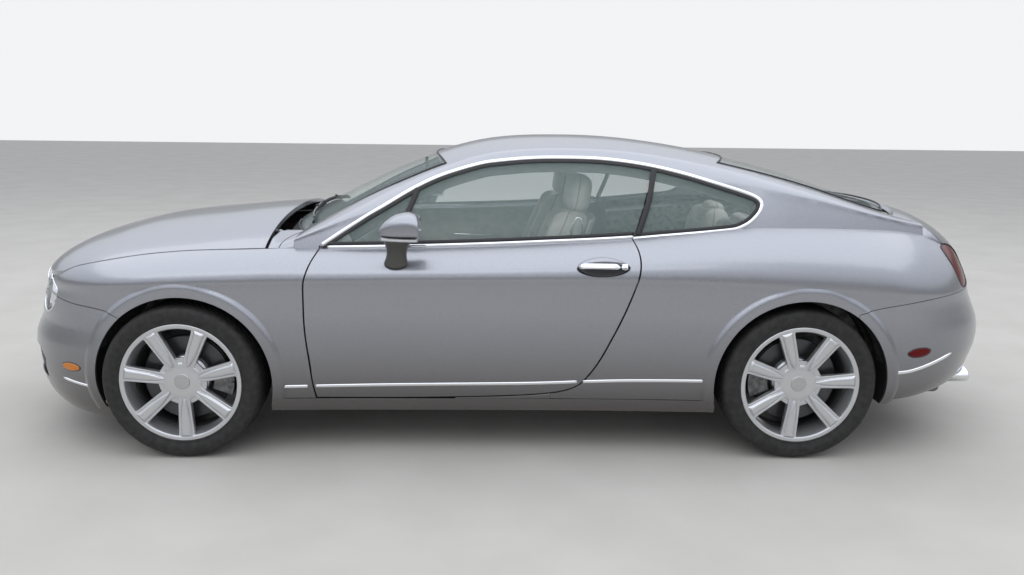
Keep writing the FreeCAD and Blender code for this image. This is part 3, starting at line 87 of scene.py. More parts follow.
# %% [markdown]
# ## From an array to a mesh
# A grid of points with shape (rows, columns, 3) becomes quads by index arithmetic, with no
# loop over vertices. Panels need an inside too: `shell` adds a second grid and joins the
# borders, so the piece is closed and its edges have a real thickness.

# %% Mesh helpers
MM = 0.001


def mesh_piece(name, pts, faces):
    """Puts points (n, 3, in millimetres) and quads or longer faces into a mesh in metres."""
    pts = np.asarray(pts, float).reshape(-1, 3) * MM
    mesh = bpy.data.meshes.new(name)
    if isinstance(faces, np.ndarray):
        k = faces.shape[1]
        mesh.vertices.add(len(pts))
        mesh.vertices.foreach_set("co", pts.astype(np.float32).ravel())
        mesh.loops.add(faces.size)
        mesh.loops.foreach_set("vertex_index", faces.astype(np.int32).ravel())
        mesh.polygons.add(len(faces))
        mesh.polygons.foreach_set("loop_start", np.arange(0, faces.size, k, dtype=np.int32))
        mesh.update(calc_edges=True)
        mesh.validate()
    else:
        mesh.from_pydata(pts.tolist(), [], faces)
    mesh.polygons.foreach_set("use_smooth", np.ones(len(mesh.polygons), bool))
    obj = bpy.data.objects.new(name, mesh)
    bpy.context.collection.objects.link(obj)
    return obj


def finish(obj, material, body, slot, replaces=(), bevel=0.0):
    """Turns the faces outwards, gives the material, and ties the piece to its CAD body."""
    bm = bmesh.new()
    bm.from_mesh(obj.data)
    bmesh.ops.remove_doubles(bm, verts=bm.verts, dist=1e-6)
    bmesh.ops.recalc_face_normals(bm, faces=bm.faces)
    bm.to_mesh(obj.data)
    bm.free()
    if bevel:
        m = obj.modifiers.new("soft_edges", "BEVEL")
        m.width, m.segments = bevel * MM, 2
        m.limit_method, m.angle_limit = "ANGLE", math.radians(40)
    obj.data.materials.append(material)
    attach(obj, body)
    if replaces:
        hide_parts(*replaces)
    return obj


def full_turn(n):
    """n even angles round a circle; the one that would close it is left out."""
    return np.linspace(0, 2 * np.pi, n, endpoint=False)


def squarer(c, power):
    """Draws a cosine or sine out to a superellipse's: sign(c) * |c|^power."""
    return np.sign(c) * np.abs(c) ** power


def quads(nu, nv, wrap_u=False, wrap_v=False):
    """Quads between neighbours of a grid whose vertex (i, j) has number i*nv + j."""
    i = np.arange(nu if wrap_u else nu - 1)[:, None]
    j = np.arange(nv if wrap_v else nv - 1)[None, :]
    i2, j2 = (i + 1) % nu, (j + 1) % nv
    f = np.stack(np.broadcast_arrays(i * nv + j, i2 * nv + j, i2 * nv + j2, i * nv + j2), -1)
    return f.reshape(-1, 4)


def shell(outer, inner):
    """Closed shell between two grids: both faces, and a wall of quads along each border."""
    nu, nv = outer.shape[:2]
    f = quads(nu, nv).reshape(nu - 1, nv - 1, 4)
    n = nu * nv
    faces = [f.reshape(-1, 4), f[..., ::-1].reshape(-1, 4) + n]
    for e, a, b in ((f[0], 0, 3), (f[-1], 2, 1), (f[:, 0], 1, 0), (f[:, -1], 3, 2)):
        faces.append(np.stack([e[:, a], e[:, b], e[:, b] + n, e[:, a] + n], -1))
    return np.concatenate([outer.reshape(-1, 3), inner.reshape(-1, 3)]), np.concatenate(faces)


def closed_sections(p):
    """A skin over rings of equal length, one ring a row, with its first and last ring capped."""
    n, m = p.shape[:2]
    caps = [list(range(m))[::-1], list(range((n - 1) * m, n * m))]
    return p.reshape(-1, 3), quads(n, m, False, True).tolist() + caps


def tube(path, radius, sides=12, closed=False, flat=1.0):
    """Round or oval tube: a circle carried along a path, square to the path's direction."""
    path = np.asarray(path, float)
    t = np.gradient(path, axis=0) if not closed else np.roll(path, -1, 0) - np.roll(path, 1, 0)
    t /= np.linalg.norm(t, axis=1, keepdims=True)
    ref = np.where(np.abs(t[:, 2:3]) > 0.9, np.array([[1.0, 0, 0]]), np.array([[0, 0, 1.0]]))
    a = np.cross(t, ref)
    a /= np.linalg.norm(a, axis=1, keepdims=True)
    b = np.cross(t, a)
    w = full_turn(sides)[None, :, None]
    ring = path[:, None] + radius * (np.cos(w) * a[:, None] + flat * np.sin(w) * b[:, None])
    if closed:
        return ring.reshape(-1, 3), quads(len(path), sides, True, True).tolist()
    return closed_sections(ring)


def lathe(profile, at, steps, axis=1):
    """Turns a profile of (radius, offset) round an axis through `at`, one row for each step."""
    r, offset = np.asarray(profile, float).T
    a = full_turn(steps)[:, None]
    first, second = (k for k in range(3) if k != axis)
    p = np.zeros((steps, len(r), 3))
    p[..., first] = r * np.cos(a)
    p[..., second] = r * np.sin(a)
    p[..., axis] = offset
    return p + np.asarray(at, float)


def turned(profile, at=(0, 0, 0), steps=120, axis=1, ring=True):
    """A turned piece: its profile is a closed loop, or with ring=False a line from axis to axis."""
    p = lathe(profile, at, steps, axis)
    return p.reshape(-1, 3), quads(steps, len(profile), True, ring).tolist()


def joined(parts):
    """Several (points, faces) sets as one; faces are lists so that caps may have many corners."""
    pts, faces, n = [], [], 0
    for p, f in parts:
        p = np.asarray(p, float).reshape(-1, 3)
        pts.append(p)
        faces += [[int(k) + n for k in q] for q in f]
        n += len(p)
    return np.concatenate(pts), faces


print("mesh helpers ready, one unit is", MM, "m")

# %% [markdown]
# ## Finishes
# Every finish is a small tree of nodes on the Principled shader. Patterns read Object
# coordinates, which are metres on the car, so a noise of scale 1000 has millimetre grains.

# %% Material helpers
def finish_base(name, colour, metallic, rough, **more):
    """A Principled material with its plain values set on its own sockets."""
    m = bpy.data.materials.new(name)
    m.use_nodes = True
    b = m.node_tree.nodes["Principled BSDF"]
    b.inputs["Base Color"].default_value = (*colour, 1.0)
    b.inputs["Metallic"].default_value = metallic
    b.inputs["Roughness"].default_value = rough
    for key, value in more.items():
        b.inputs[key.replace("_", " ")].default_value = value
    return m, m.node_tree, b


def coords(tree):
    """The piece's own coordinates, metres on the car."""
    return tree.nodes.new("ShaderNodeTexCoord").outputs["Object"]


def noise(tree, scale, detail=3.0, rough=0.5, vector=None):
    """Noise with `scale` grains to the metre, between 0 and 1."""
    n = tree.nodes.new("ShaderNodeTexNoise")
    n.inputs["Scale"].default_value, n.inputs["Detail"].default_value = scale, detail
    n.inputs["Roughness"].default_value = rough
    tree.links.new(vector or coords(tree), n.inputs["Vector"])
    return n.outputs["Fac"]


def ramp(tree, fac, low, high, a=0.35, b=0.65):
    """Goes from `low` to `high`, two colours or two grey values, as `fac` goes from a to b."""
    r = tree.nodes.new("ShaderNodeValToRGB")
    for element, place, value in zip(r.color_ramp.elements, (a, b), (low, high)):
        element.position = place
        element.color = (*value, 1) if hasattr(value, "__len__") else (value, value, value, 1)
    tree.links.new(fac, r.inputs["Fac"])
    return r.outputs["Color"]


def bumped(tree, shader, height, strength, distance):
    """Lets a height pattern bend the light, as if it stood up by `distance` metres."""
    b = tree.nodes.new("ShaderNodeBump")
    b.inputs["Strength"].default_value, b.inputs["Distance"].default_value = strength, distance
    tree.links.new(height, b.inputs["Height"])
    tree.links.new(b.outputs["Normal"], shader.inputs["Normal"])


def mottled(name, colour, metallic, rough, tint=None, gloss=None, grain=None, **more):
    """A finish that wanders. tint and gloss are (scale, detail, low, high) of its colour and
    its roughness; grain is (scale, detail, strength, metres) of its height."""
    m, tree, shader = finish_base(name, colour, metallic, rough, **more)
    for socket, pattern in (("Base Color", tint), ("Roughness", gloss)):
        if pattern:
            scale, detail, low, high = pattern
            tree.links.new(ramp(tree, noise(tree, scale, detail), low, high), shader.inputs[socket])
    if grain:
        bumped(tree, shader, noise(tree, *grain[:2]), *grain[2:])
    return m


print("finish helpers ready")

# %% [markdown]
# Metallic paint is aluminium flake under clear lacquer: a mostly metallic base whose colour
# wanders a little from flake to flake, and a smooth coat on top that gives the sharp
# reflections. The lower body carries a painted shade: the colour slides towards a dark brown grey
# from two thirds of a metre above the floor down to the sill, standing in for the shade and the
# dark reflections under the car.

# %% Paint
FLAKE_DARK, FLAKE_LIGHT = (0.308, 0.318, 0.354), (0.402, 0.415, 0.452)
# painted shade: the lower body's colour mixes towards this dark brown grey, for the shade under the car
PAINTED_SHADE_COLOUR, PAINTED_SHADE_SHARE = (0.115, 0.105, 0.097, 1), 0.88
PAINTED_SHADE_LOW_M, PAINTED_SHADE_HIGH_M = 0.22, 0.66
paint, tree, shader = finish_base("lilac_silver_paint", (0.345, 0.355, 0.392), 0.78, 0.30,
                                  Coat_Weight=0.6, Coat_Roughness=0.04)
flakes = ramp(tree, noise(tree, 2600.0, 1.0), FLAKE_DARK, FLAKE_LIGHT)
place = tree.nodes.new("ShaderNodeSeparateXYZ")
tree.links.new(coords(tree), place.inputs["Vector"])
# painted shade: this Mix node darkens the flake colour by height, most at the sill
painted_shade = tree.nodes.new("ShaderNodeMix")
painted_shade.data_type = "RGBA"
painted_shade_factor = ramp(tree, place.outputs["Z"], PAINTED_SHADE_SHARE, 0.0, PAINTED_SHADE_LOW_M, PAINTED_SHADE_HIGH_M)
tree.links.new(painted_shade_factor, painted_shade.inputs["Factor"])
# a Mix node has A, B and Result once for each data type; these are the colour ones
MIX_COLOUR_A, MIX_COLOUR_B, MIX_COLOUR_OUT = 6, 7, 2
tree.links.new(flakes, painted_shade.inputs[MIX_COLOUR_A])
painted_shade.inputs[MIX_COLOUR_B].default_value = PAINTED_SHADE_COLOUR
tree.links.new(painted_shade.outputs[MIX_COLOUR_OUT], shader.inputs["Base Color"])
tree.links.new(ramp(tree, noise(tree, 900.0, 2.0), 0.24, 0.34), shader.inputs["Roughness"])
print("paint film from", PAINTED_SHADE_LOW_M, "to", PAINTED_SHADE_HIGH_M, "m")

# %% [markdown]
# Bright trim, alloy and bare metals differ mainly in roughness and in how even they are.

# %% Metals
chrome = mottled("bright_chrome", (0.86, 0.87, 0.89), 1.0, 0.07, gloss=(60.0, 3.0, 0.04, 0.10))
alloy = mottled("painted_alloy", (0.60, 0.61, 0.63), 0.75, 0.30,
                tint=(1500.0, 2.0, (0.55, 0.56, 0.58), (0.68, 0.69, 0.71)),
                Coat_Weight=0.6, Coat_Roughness=0.08)
steel = mottled("chassis_steel", (0.20, 0.20, 0.21), 0.8, 0.5,
                tint=(35.0, 5.0, (0.12, 0.12, 0.125), (0.26, 0.255, 0.25)), gloss=(90.0, 4.0, 0.38, 0.62))
disc_metal = mottled("turned_iron", (0.10, 0.10, 0.105), 0.8, 0.42, gloss=(240.0, 4.0, 0.28, 0.46))
# painted shade: the mirror foot is painted like the body; this dark grey stands in for its shade and the dark
# ground it reflects
foot_painted_shade = mottled("foot_painted_shade_grey", (0.085, 0.085, 0.08), 0.5, 0.34,
                    tint=(1800.0, 3.0, (0.075, 0.075, 0.07), (0.10, 0.10, 0.094)), Coat_Weight=0.3)
lamp_back = mottled("lamp_reflector", (0.80, 0.81, 0.83), 0.2, 0.3, gloss=(300.0, 3.0, 0.26, 0.36))
brushed, tree, shader = finish_base("brushed_steel", (0.55, 0.55, 0.56), 1.0, 0.34)
long_grain = tree.nodes.new("ShaderNodeMapping")
long_grain.inputs["Scale"].default_value = (6.0, 900.0, 900.0)
tree.links.new(coords(tree), long_grain.inputs["Vector"])
streaks = noise(tree, 1.0, 3.0, 0.6, long_grain.outputs["Vector"])
tree.links.new(ramp(tree, streaks, 0.24, 0.46), shader.inputs["Roughness"])
print("metals", len(bpy.data.materials))

# %% [markdown]
# Dark plastics and rubber are never one flat black: a fine noise moves the colour and a bump
# gives the grain.

# %% Dark finishes
black_trim = mottled("grained_black_plastic", (0.022, 0.022, 0.024), 0.0, 0.5,
                     tint=(700.0, 3.0, (0.016, 0.016, 0.018), (0.034, 0.034, 0.036)),
                     grain=(900.0, 4.0, 0.25, 0.0004))
gloss_black = mottled("gloss_black", (0.012, 0.012, 0.014), 0.0, 0.12,
                      gloss=(30.0, 3.0, 0.08, 0.16), Coat_Weight=0.5)
rubber = mottled("tyre_rubber", (0.026, 0.026, 0.027), 0.0, 0.62,
                 tint=(40.0, 5.0, (0.026, 0.026, 0.027), (0.042, 0.041, 0.040)),
                 grain=(1400.0, 3.0, 0.3, 0.0003), Specular_IOR_Level=0.28)
print("dark finishes", black_trim.name, gloss_black.name, rubber.name)

# %% [markdown]
# The cabin is trimmed in pale grey leather: a cell pattern gives the pores, a wider noise the
# wear, and a little sheen the softness. The veneer of the dashboard has long dark figures
# under a thick lacquer.

# %% Leather and veneer
def leather_of(name, dark, light):
    """Leather: cell noise for the pores, low noise for the colour."""
    m = mottled(name, light, 0.0, 0.46, tint=(22.0, 4.0, dark, light), gloss=(300.0, 3.0, 0.38, 0.55),
                Sheen_Weight=0.12)
    tree = m.node_tree
    pores = tree.nodes.new("ShaderNodeTexVoronoi")
    pores.inputs["Scale"].default_value = 520.0
    tree.links.new(coords(tree), pores.inputs["Vector"])
    bumped(tree, tree.nodes["Principled BSDF"], pores.outputs["Distance"], 0.3, 0.0006)
    return m


leather = leather_of("pale_leather", (0.50, 0.49, 0.465), (0.60, 0.59, 0.56))
dark_leather = leather_of("charcoal_leather", (0.045, 0.044, 0.046), (0.075, 0.073, 0.075))
piping = mottled("seam_piping", (0.36, 0.35, 0.33), 0.0, 0.5,
                 tint=(800.0, 3.0, (0.30, 0.29, 0.27), (0.40, 0.39, 0.37)))
walnut, tree, shader = finish_base("burr_walnut", (0.20, 0.08, 0.03), 0.0, 0.2,
                                   Coat_Weight=0.9, Coat_Roughness=0.04)
figure = ramp(tree, noise(tree, 26.0, 10.0, 0.7), (0.06, 0.02, 0.008), (0.34, 0.15, 0.055), 0.3, 0.7)
tree.links.new(figure, shader.inputs["Base Color"])
print("cabin finishes", leather.name, dark_leather.name, piping.name, walnut.name)

# %% [markdown]
# Glass is thin and slightly green. Real refraction through a thin pane hardly bends light, so
# a mostly see-through surface with a sharp reflection is quicker and shows the cabin better.
# The share of the side windows that stops the light is a pale green lit like any surface: a
# painted haze that stands in for the sky reflected over the cabin.

# %% Glass and lamp lenses
def pane(name, tint, stopped, rough=0.02, specular=0.5):
    """Thin glass: each face stops a share of the light in its tint and lets the rest through. A
    closed pane has two faces, so a line of sight meets that share twice."""
    return mottled(name, tint, 0.0, rough, gloss=(3.0, 3.0, rough * 0.8, rough * 1.3),
                   Alpha=stopped, Specular_IOR_Level=specular)


# painted reflection: partly the glass's green tint, partly a pale lit haze in place of the reflected sky
glass_tint_painted_haze = pane("green_glass_painted_haze", (0.62, 0.80, 0.79), 0.14)
lens_clear = pane("clear_lens", (0.80, 0.84, 0.86), 0.16)
lens_red = pane("red_lens", (0.15, 0.003, 0.005), 0.92, 0.12, 0.2)
lens_amber = pane("amber_lens", (0.75, 0.25, 0.03), 0.9, 0.1)
print("materials", len(bpy.data.materials))

# %% [markdown]
# ## The nodes that stay
# Most CAD nodes already have the right shape and only need their finish. The first words of a
# node's name say what it is, so one table of those words dresses them all.

# %% Give each CAD node its finish
DRESS = {
    paint: ["wing", "door", "quarter", "front_bumper", "rear_bumper", "bonnet", "boot_lid", "roof",
            "sill", "mirror"],
    glass_tint_painted_haze: ["windscreen", "rear_window", "door_glass", "quarter_glass"],
    lens_clear: ["headlamp"], lens_red: ["tail_lamp"], black_trim: ["grille", "cowl"],
    rubber: ["tyre"], alloy: ["rim"], chrome: ["handle"],
    steel: ["floor", "firewall", "apron", "front_frame", "engine", "front_axle", "upper_arm",
            "rear_axle", "knuckle", "exhaust", "side_inner", "boot_tub"],
    leather: ["seat_left", "seat_right", "rear_seat", "steering_wheel"],
    dark_leather: ["dashboard", "console"]}
for finish_of, starts in DRESS.items():
    for name, obj in node.items():
        if any(name == s or name.startswith(s + "_") for s in starts):
            obj.data.materials.clear()
            obj.data.materials.append(finish_of)
print("dressed", sum(bool(o.data.materials) for o in node.values()), "nodes")

# %% [markdown]
# ## Tyres
# A low tyre is one closed profile turned about the axle. The tread is cut afterwards: where a
# point lies on the crown, its radius is lowered inside four grooves that run round the tyre
# and inside short slanted slots between them.

# %% Where the wheels are
AXLE_X = {"front": -1452.5, "rear": 1292.5}
HALF_TRACK = {"front": 811.5, "rear": 803.5}
TYRE_R, TYRE_HALF, RIM_R = 348.0, 137.5, 254.0
SIDES = (("left", -1), ("right", 1))
corners = [(end, side, sign) for end in ("front", "rear") for side, sign in SIDES]


def to_wheel(pts, end, sign):
    """Local wheel points (outboard is -Y) carried to one corner of the car."""
    p = np.array(pts, float)
    if sign > 0:
        p[..., 1] *= -1
    return p + np.array([AXLE_X[end], sign * HALF_TRACK[end], TYRE_R])


print("wheelbase", AXLE_X["rear"] - AXLE_X["front"], "mm, wheels", len(corners))

# %% Tyre surface
SIDEWALL = [(RIM_R + 1.5, -119.5), (262, -121.5), (268, -127), (272, -130.5), (276, -129.5), (281, -131.5),
            (298, -137.2), (316, -136.8), (328, -133.5), (337, -127), (342.5, -117), (345.5, -104),
            (347.3, -80), (348, -40), (348, 0)]
CROWN_Y, CROWN_R = [0, 40, 80, 104, 112], [348, 348, 347.3, 345.5, 344.4]
CROWN_FROM_R, CROWN_ROWS = 344.9, 61
GROOVES_AT, GROOVE_HALF, GROOVE_DEPTH, GROOVE_FROM_R = np.array([16.0, 52.0]), 4.4, 7.0, 340
SLOT_PAIRS, SLOT_SLANT, SLOT_HALF, SLOT_DEPTH, SLOT_FROM_R = 36, 0.028, 0.085, 5.0, 343
SLOTS_FROM, SLOTS_TO, OUTER_ROW_SHIFT = 20, 108, 0.5


def smooth_profile(points, per_span):
    """Cubic through control points (Catmull-Rom), sampled per_span times in each span."""
    p = np.array(points, float)
    ext = np.vstack([2 * p[0] - p[1], p, 2 * p[-1] - p[-2]])
    t = np.linspace(0, 1, per_span, endpoint=False)[:, None]
    spans = [0.5 * (2 * b + (c - a) * t + (2 * a - 5 * b + 4 * c - d) * t ** 2
                    + (3 * b - a - 3 * c + d) * t ** 3)
             for a, b, c, d in zip(ext[:-3], ext[1:-2], ext[2:-1], ext[3:])]
    return np.vstack(spans + [p[-1:]])


def tyre_points(steps=432):
    """Turned profile r(s), y(s): r is scaled down in the grooves, at fixed |y|, and in the slots,
    where a saw-tooth of the angle and |y| is near its middle."""
    left = smooth_profile(SIDEWALL, 4)
    crown = left[:, 0] > CROWN_FROM_R
    wall = left[~crown]
    y = np.linspace(left[crown][0, 1], -left[crown][0, 1], CROWN_ROWS)
    profile = np.vstack([wall, np.c_[np.interp(np.abs(y), CROWN_Y, CROWN_R), y], wall[::-1] * [1, -1]])
    p = lathe(profile, (0, 0, 0), steps)
    a = full_turn(steps)[:, None]
    r, off = profile[None, :, 0], np.abs(profile[None, :, 1])
    groove = np.min(np.abs(off - GROOVES_AT[:, None, None]), axis=0) < GROOVE_HALF
    shifted = (off > GROOVES_AT[1]) * OUTER_ROW_SHIFT
    tooth = (a * SLOT_PAIRS / np.pi + off * SLOT_SLANT + shifted) % 1.0
    slot = (np.abs(tooth - 0.5) < SLOT_HALF) & (off > SLOTS_FROM) & (off < SLOTS_TO)
    in_groove, in_slot = groove & (r > GROOVE_FROM_R), slot & (r > SLOT_FROM_R)
    depth = np.where(in_groove, GROOVE_DEPTH, np.where(in_slot, SLOT_DEPTH, 0.0))
    factor = 1 - depth / np.maximum(r, 1)
    p[..., 0] *= factor
    p[..., 2] *= factor
    return p


tyre_grid = tyre_points()
steps, rows = tyre_grid.shape[:2]
for end, side, sign in corners:
    pts = to_wheel(tyre_grid, end, sign)
    obj = mesh_piece(f"tyre_{end}_{side}_tread", pts, quads(steps, rows, True, True))
    finish(obj, rubber, f"wheel_{end}_{side}", "tyre", replaces=[f"tyre_{end}_{side}"])
print("tyre quads", steps * rows)

# %% [markdown]
# ## Wheels
# The rim is a turned barrel. Its seven spokes widen towards the tyre and carry a raised leaf
# with a rounded point over the hub. Each spoke's face is a height over a plan: the plan's half
# width grows with the radius, and the height is a crown, a groove and a lower ledge.

# %% Barrel, hub and brake disc profiles
SPOKES = 7
BORE_R = 30.1
OUT = -TYRE_HALF
IN = TYRE_HALF
barrel_profile = [
    (RIM_R + 1, OUT + 17.5), (RIM_R + 12, OUT + 17.5), (RIM_R + 13.2, OUT + 14), (RIM_R + 12.6, OUT + 9.5),
    (RIM_R + 10, OUT + 7.6), (RIM_R + 4, OUT + 8.2), (RIM_R - 3, OUT + 9.6), (RIM_R - 7.5, OUT + 12),
    (RIM_R - 9.5, OUT + 18), (RIM_R - 15, OUT + 33), (232, -50), (230, IN - 34), (RIM_R - 8, IN - 11),
    (RIM_R + 11, IN - 8.5), (RIM_R + 13, IN - 10), (RIM_R + 13, IN - 17.5), (RIM_R + 1, IN - 17.5),
    (RIM_R - 8, IN - 44), (RIM_R - 8, OUT + 44)]
hub_profile = [
    (0, OUT + 31), (26, OUT + 31), (62, OUT + 31.6), (80, OUT + 33), (86, OUT + 36), (86.8, OUT + 40),
    (84, OUT + 44), (84, -60), (103, -52), (106, -44), (BORE_R, -44), (BORE_R, OUT + 50), (0, OUT + 50)]
disc_profile = [(112, -36.5), (189, -36.5), (190, -35.5), (190, -25), (186, -23), (186, -16), (190, -14),
                (190, -3.5), (189, -2.5), (112, -2.5)]
bell_profile = [(BORE_R, -45), (108, -45), (112.5, -41), (112.5, -2.5), (104, -2.5), (104, -38),
                (BORE_R, -38)]
centre_profile = [(0, OUT + 28.4), (30, OUT + 28.4), (33.5, OUT + 29.0), (35.5, OUT + 31.5),
                 (35.5, OUT + 33), (0, OUT + 33)]
# painted shade: a black sleeve just inside the barrel darkens the inside of the wheel
shade_profile = [(229.2, -48), (229.2, IN - 36), (226.5, IN - 36), (229.0, -48)]
print("profiles of", len(barrel_profile), "and", len(hub_profile), "points")


# %% Spokes
SPOKE_FROM_R, SPOKE_TO_R, SPOKE_BACK = 74, 249, 40
WEB_FROM_R, WEB_TO_R, WEB_THICK = 80, 106.0, 12
HUB_HALF_MM, WIDENING_MM = 27.0, 10.0
LEAF_MM, LEAF_GROOVE_MM, LEDGE_MM, EDGE_ROUND_MM = 9.0, 2.6, 1.8, 6.0


def share(value, start, length):
    """Rises from 0 to 1 as the value goes from start to start + length, and stays there."""
    return np.clip((value - start) / length, 0, 1)


def spoke_points(angle, ns=40, nt=29):
    """Half width widens from hub to tyre, more so at both ends; height over the plan is the
    ledge plus the leaf's crown less the groove beside it. The back is flat."""
    s = np.linspace(0, 1, ns)[:, None]
    t = np.linspace(-1, 1, nt)[None, :]
    off = np.abs(t)
    r = SPOKE_FROM_R + s * (SPOKE_TO_R - SPOKE_FROM_R)
    flare = 8.0 * share(s, 0.9, 0.1) ** 2 + 4 * np.clip((0.1 - s) / 0.1, 0, 1) ** 2
    half = HUB_HALF_MM + WIDENING_MM * s + flare
    face = OUT + 30.0 - 17.5 * s ** 1.2
    grown = share(s, 0.02, 0.55)
    leaf = 0.60 * (grown * (2 - grown)) ** 0.55
    q = np.clip(off / np.maximum(leaf, 1e-3), 0, 3)
    crown = np.where(q < 1, LEAF_MM * np.maximum(1 - q ** 2.6, 0) ** 0.55, 0.0)
    groove = LEAF_GROOVE_MM * np.exp(-((off - leaf - 0.07) / 0.05) ** 2)
    ledge = LEDGE_MM * (1 - share(off, 0.72, 0.28) ** 2)
    rounding = EDGE_ROUND_MM * share(off, 0.93, 0.07) ** 1.5
    fade = np.clip((1 - s) / 0.05, 0, 1)
    y = face - (crown - groove + ledge) * (0.25 + 0.75 * fade) + rounding + 5.0 * (1 - s) ** 6
    radial, across = np.broadcast_to(r, y.shape), t * half
    front = np.stack([radial, y, across], -1)
    back = np.stack([radial, np.broadcast_to(face + SPOKE_BACK - 6 * s, y.shape), across * 0.86], -1)
    ca, sa = math.cos(angle), math.sin(angle)
    turn = np.array([[ca, 0, sa], [0, 1, 0], [-sa, 0, ca]])
    return shell(front @ turn, back @ turn)


def web_points(angle, span):
    """The plate that joins two spokes round the hub: a short ring piece with a straight edge."""
    a = angle + np.linspace(-span, span, 15)[:, None]
    edge = WEB_TO_R / np.cos(a - angle)
    r = WEB_FROM_R + (edge - WEB_FROM_R) * np.linspace(0, 1, 5)[None, :]
    front = np.stack([r * np.cos(a), OUT + 38 + 0.06 * (r - WEB_FROM_R), r * np.sin(a)], -1)
    return shell(front, front + [0, WEB_THICK, 0])


def wheel_face(first_degrees):
    """Barrel, hub, spokes and the webs between them, the first spoke at the given angle."""
    parts = [turned(barrel_profile), turned(hub_profile, steps=72)]
    half_turn = math.pi / SPOKES
    for k in range(SPOKES):
        a = math.radians(first_degrees) + 2 * math.pi * k / SPOKES
        parts += [spoke_points(a), web_points(a + half_turn, half_turn)]
    return joined(parts)


print("spoke", SPOKE_TO_R - SPOKE_FROM_R, "mm long, leaf", LEAF_MM, "mm proud")

# %% Four wheels
FIRST_SPOKE = {"front": -87.0, "rear": -98.0}
disc = joined([turned(disc_profile), turned(bell_profile, steps=72)])
centre_disc = turned(centre_profile, steps=64)
barrel_shade = turned(shade_profile)
valve = tube([(228, OUT + 32, 3), (226, OUT + 22, 3), (224, OUT + 16, 3)], 3.2, 12)
for end, side, sign in corners:
    body = f"wheel_{end}_{side}"
    for name, (pts, faces), material, slot, more in (
            (f"rim_{end}_{side}_face", wheel_face(FIRST_SPOKE[end]), alloy, "wheel",
             {"replaces": [f"rim_{end}_{side}"], "bevel": 0.8}),
            (f"brake_disc_{end}_{side}", disc, disc_metal, "iron", {"bevel": 0.5}),
            (f"hub_disc_{end}_{side}", centre_disc, brushed, "wheel", {"bevel": 0.5}),
            (f"barrel_shade_{end}_{side}", barrel_shade, black_trim, "wheel", {}),
            (f"valve_{end}_{side}", valve, black_trim, "trim", {})):
        finish(mesh_piece(name, to_wheel(pts, end, sign), faces), material, body, slot, **more)
print("spokes", SPOKES * len(corners))

# %% [markdown]
# ## The body as formulas
# The same few curves that shaped the CAD panels shape the trim that lies on them. Each curve
# is a table of points; between two points runs a cubic that never overshoots (monotone
# Hermite). From them come the side of the car y(x, z), the bonnet z(x, y) and the roof.

# %% Curves through the measured points
def curve(xs, ys):
    """Monotone cubic through (xs, ys): slopes are weighted harmonic means of the neighbours' slopes."""
    xs, ys = np.array(xs, float), np.array(ys, float)
    h, d = np.diff(xs), np.diff(ys) / np.diff(xs)
    m = np.r_[d[0], np.zeros(len(d) - 1), d[-1]]
    h0, h1, d0, d1 = h[:-1], h[1:], d[:-1], d[1:]
    same = d0 * d1 > 0
    safe0, safe1 = np.where(same, d0, 1), np.where(same, d1, 1)
    m[1:-1] = np.where(same, 3 * (h0 + h1) / ((2 * h1 + h0) / safe0 + (h1 + 2 * h0) / safe1), 0)

    def at(x):
        """The cubic's value at x, or at the nearer end where x lies outside."""
        x = np.clip(x, xs[0], xs[-1])
        i = np.clip(np.searchsorted(xs, x, side="left") - 1, 0, len(h) - 1)
        t = (x - xs[i]) / h[i]
        return (ys[i] * (2 * t ** 3 - 3 * t ** 2 + 1) + m[i] * h[i] * (t ** 3 - 2 * t ** 2 + t)
                + ys[i + 1] * (3 * t ** 2 - 2 * t ** 3) + m[i + 1] * h[i] * (t ** 3 - t ** 2))
    return at


# x, widest half width, height of the waist, rise of the shoulder above it
STATIONS = np.array([
    (-2300, 935, 737, 12), (-2268, 935, 738, 30), (-2207, 936, 740, 93), (-2127, 937, 745, 135),
    (-2024, 938, 752, 167), (-1921, 940, 762, 184), (-1819, 943, 771, 198), (-1693, 946, 780, 206),
    (-1567, 948, 787, 212), (-1440, 948, 792, 219), (-1314, 946, 795, 229), (-1188, 943, 797, 237),
    (-1060, 939, 800, 242), (-850, 932, 803, 234), (-500, 927, 809, 228), (0, 926, 814, 243),
    (400, 930, 817, 272), (662, 937, 816, 304), (975, 950, 806, 362), (1292, 959, 792, 396),
    (1700, 951, 765, 403), (2000, 938, 752, 403), (2400, 920, 745, 400)], float)
widest, waist, rise = (curve(STATIONS[:, 0], STATIONS[:, k]) for k in (1, 2, 3))
# share of the way down from the waist to the sill, share of the full tuck
tuck = curve([0, 0.06, 0.2, 0.5, 0.75, 0.9, 1.0, 1.3], [0, 0.13, 0.22, 0.27, 0.42, 0.70, 1.0, 1.6])
# height, x of the nose or the tail on the centre line
nose = curve([120, 154, 210, 275, 335, 400, 472, 521, 560, 600, 656, 699, 740, 1200],
             [-2262, -2300, -2346, -2362, -2374, -2380, -2374, -2356, -2334, -2328, -2316, -2303,
              -2288, -2288])
tail = curve([240, 266, 307, 348, 399, 449, 499, 564, 613, 657, 701, 735, 793, 856, 890, 923, 947, 970,
              999, 1022, 1045],
             [2150, 2220, 2299, 2334, 2354, 2368, 2380, 2377, 2361, 2339, 2318, 2306, 2286, 2259, 2244,
              2225, 2209, 2190, 2165, 2135, 2085])
# x, height of the line where side and windows meet
belt = curve([-2300, -2100, -1988, -1929, -1840, -1751, -1640, -1530, -1376, -1245, -1056, -850, -498,
              -53, 215, 394, 537, 662, 840, 975, 1100, 1350, 1600, 1760, 1880, 1960, 2030, 2090, 2160],
             [770, 793, 815, 838, 860, 878, 896, 908, 919, 924, 930, 932, 938, 953, 966, 976, 986, 998,
              1015, 1029, 1036, 1036, 1030, 1018, 998, 972, 935, 890, 850])
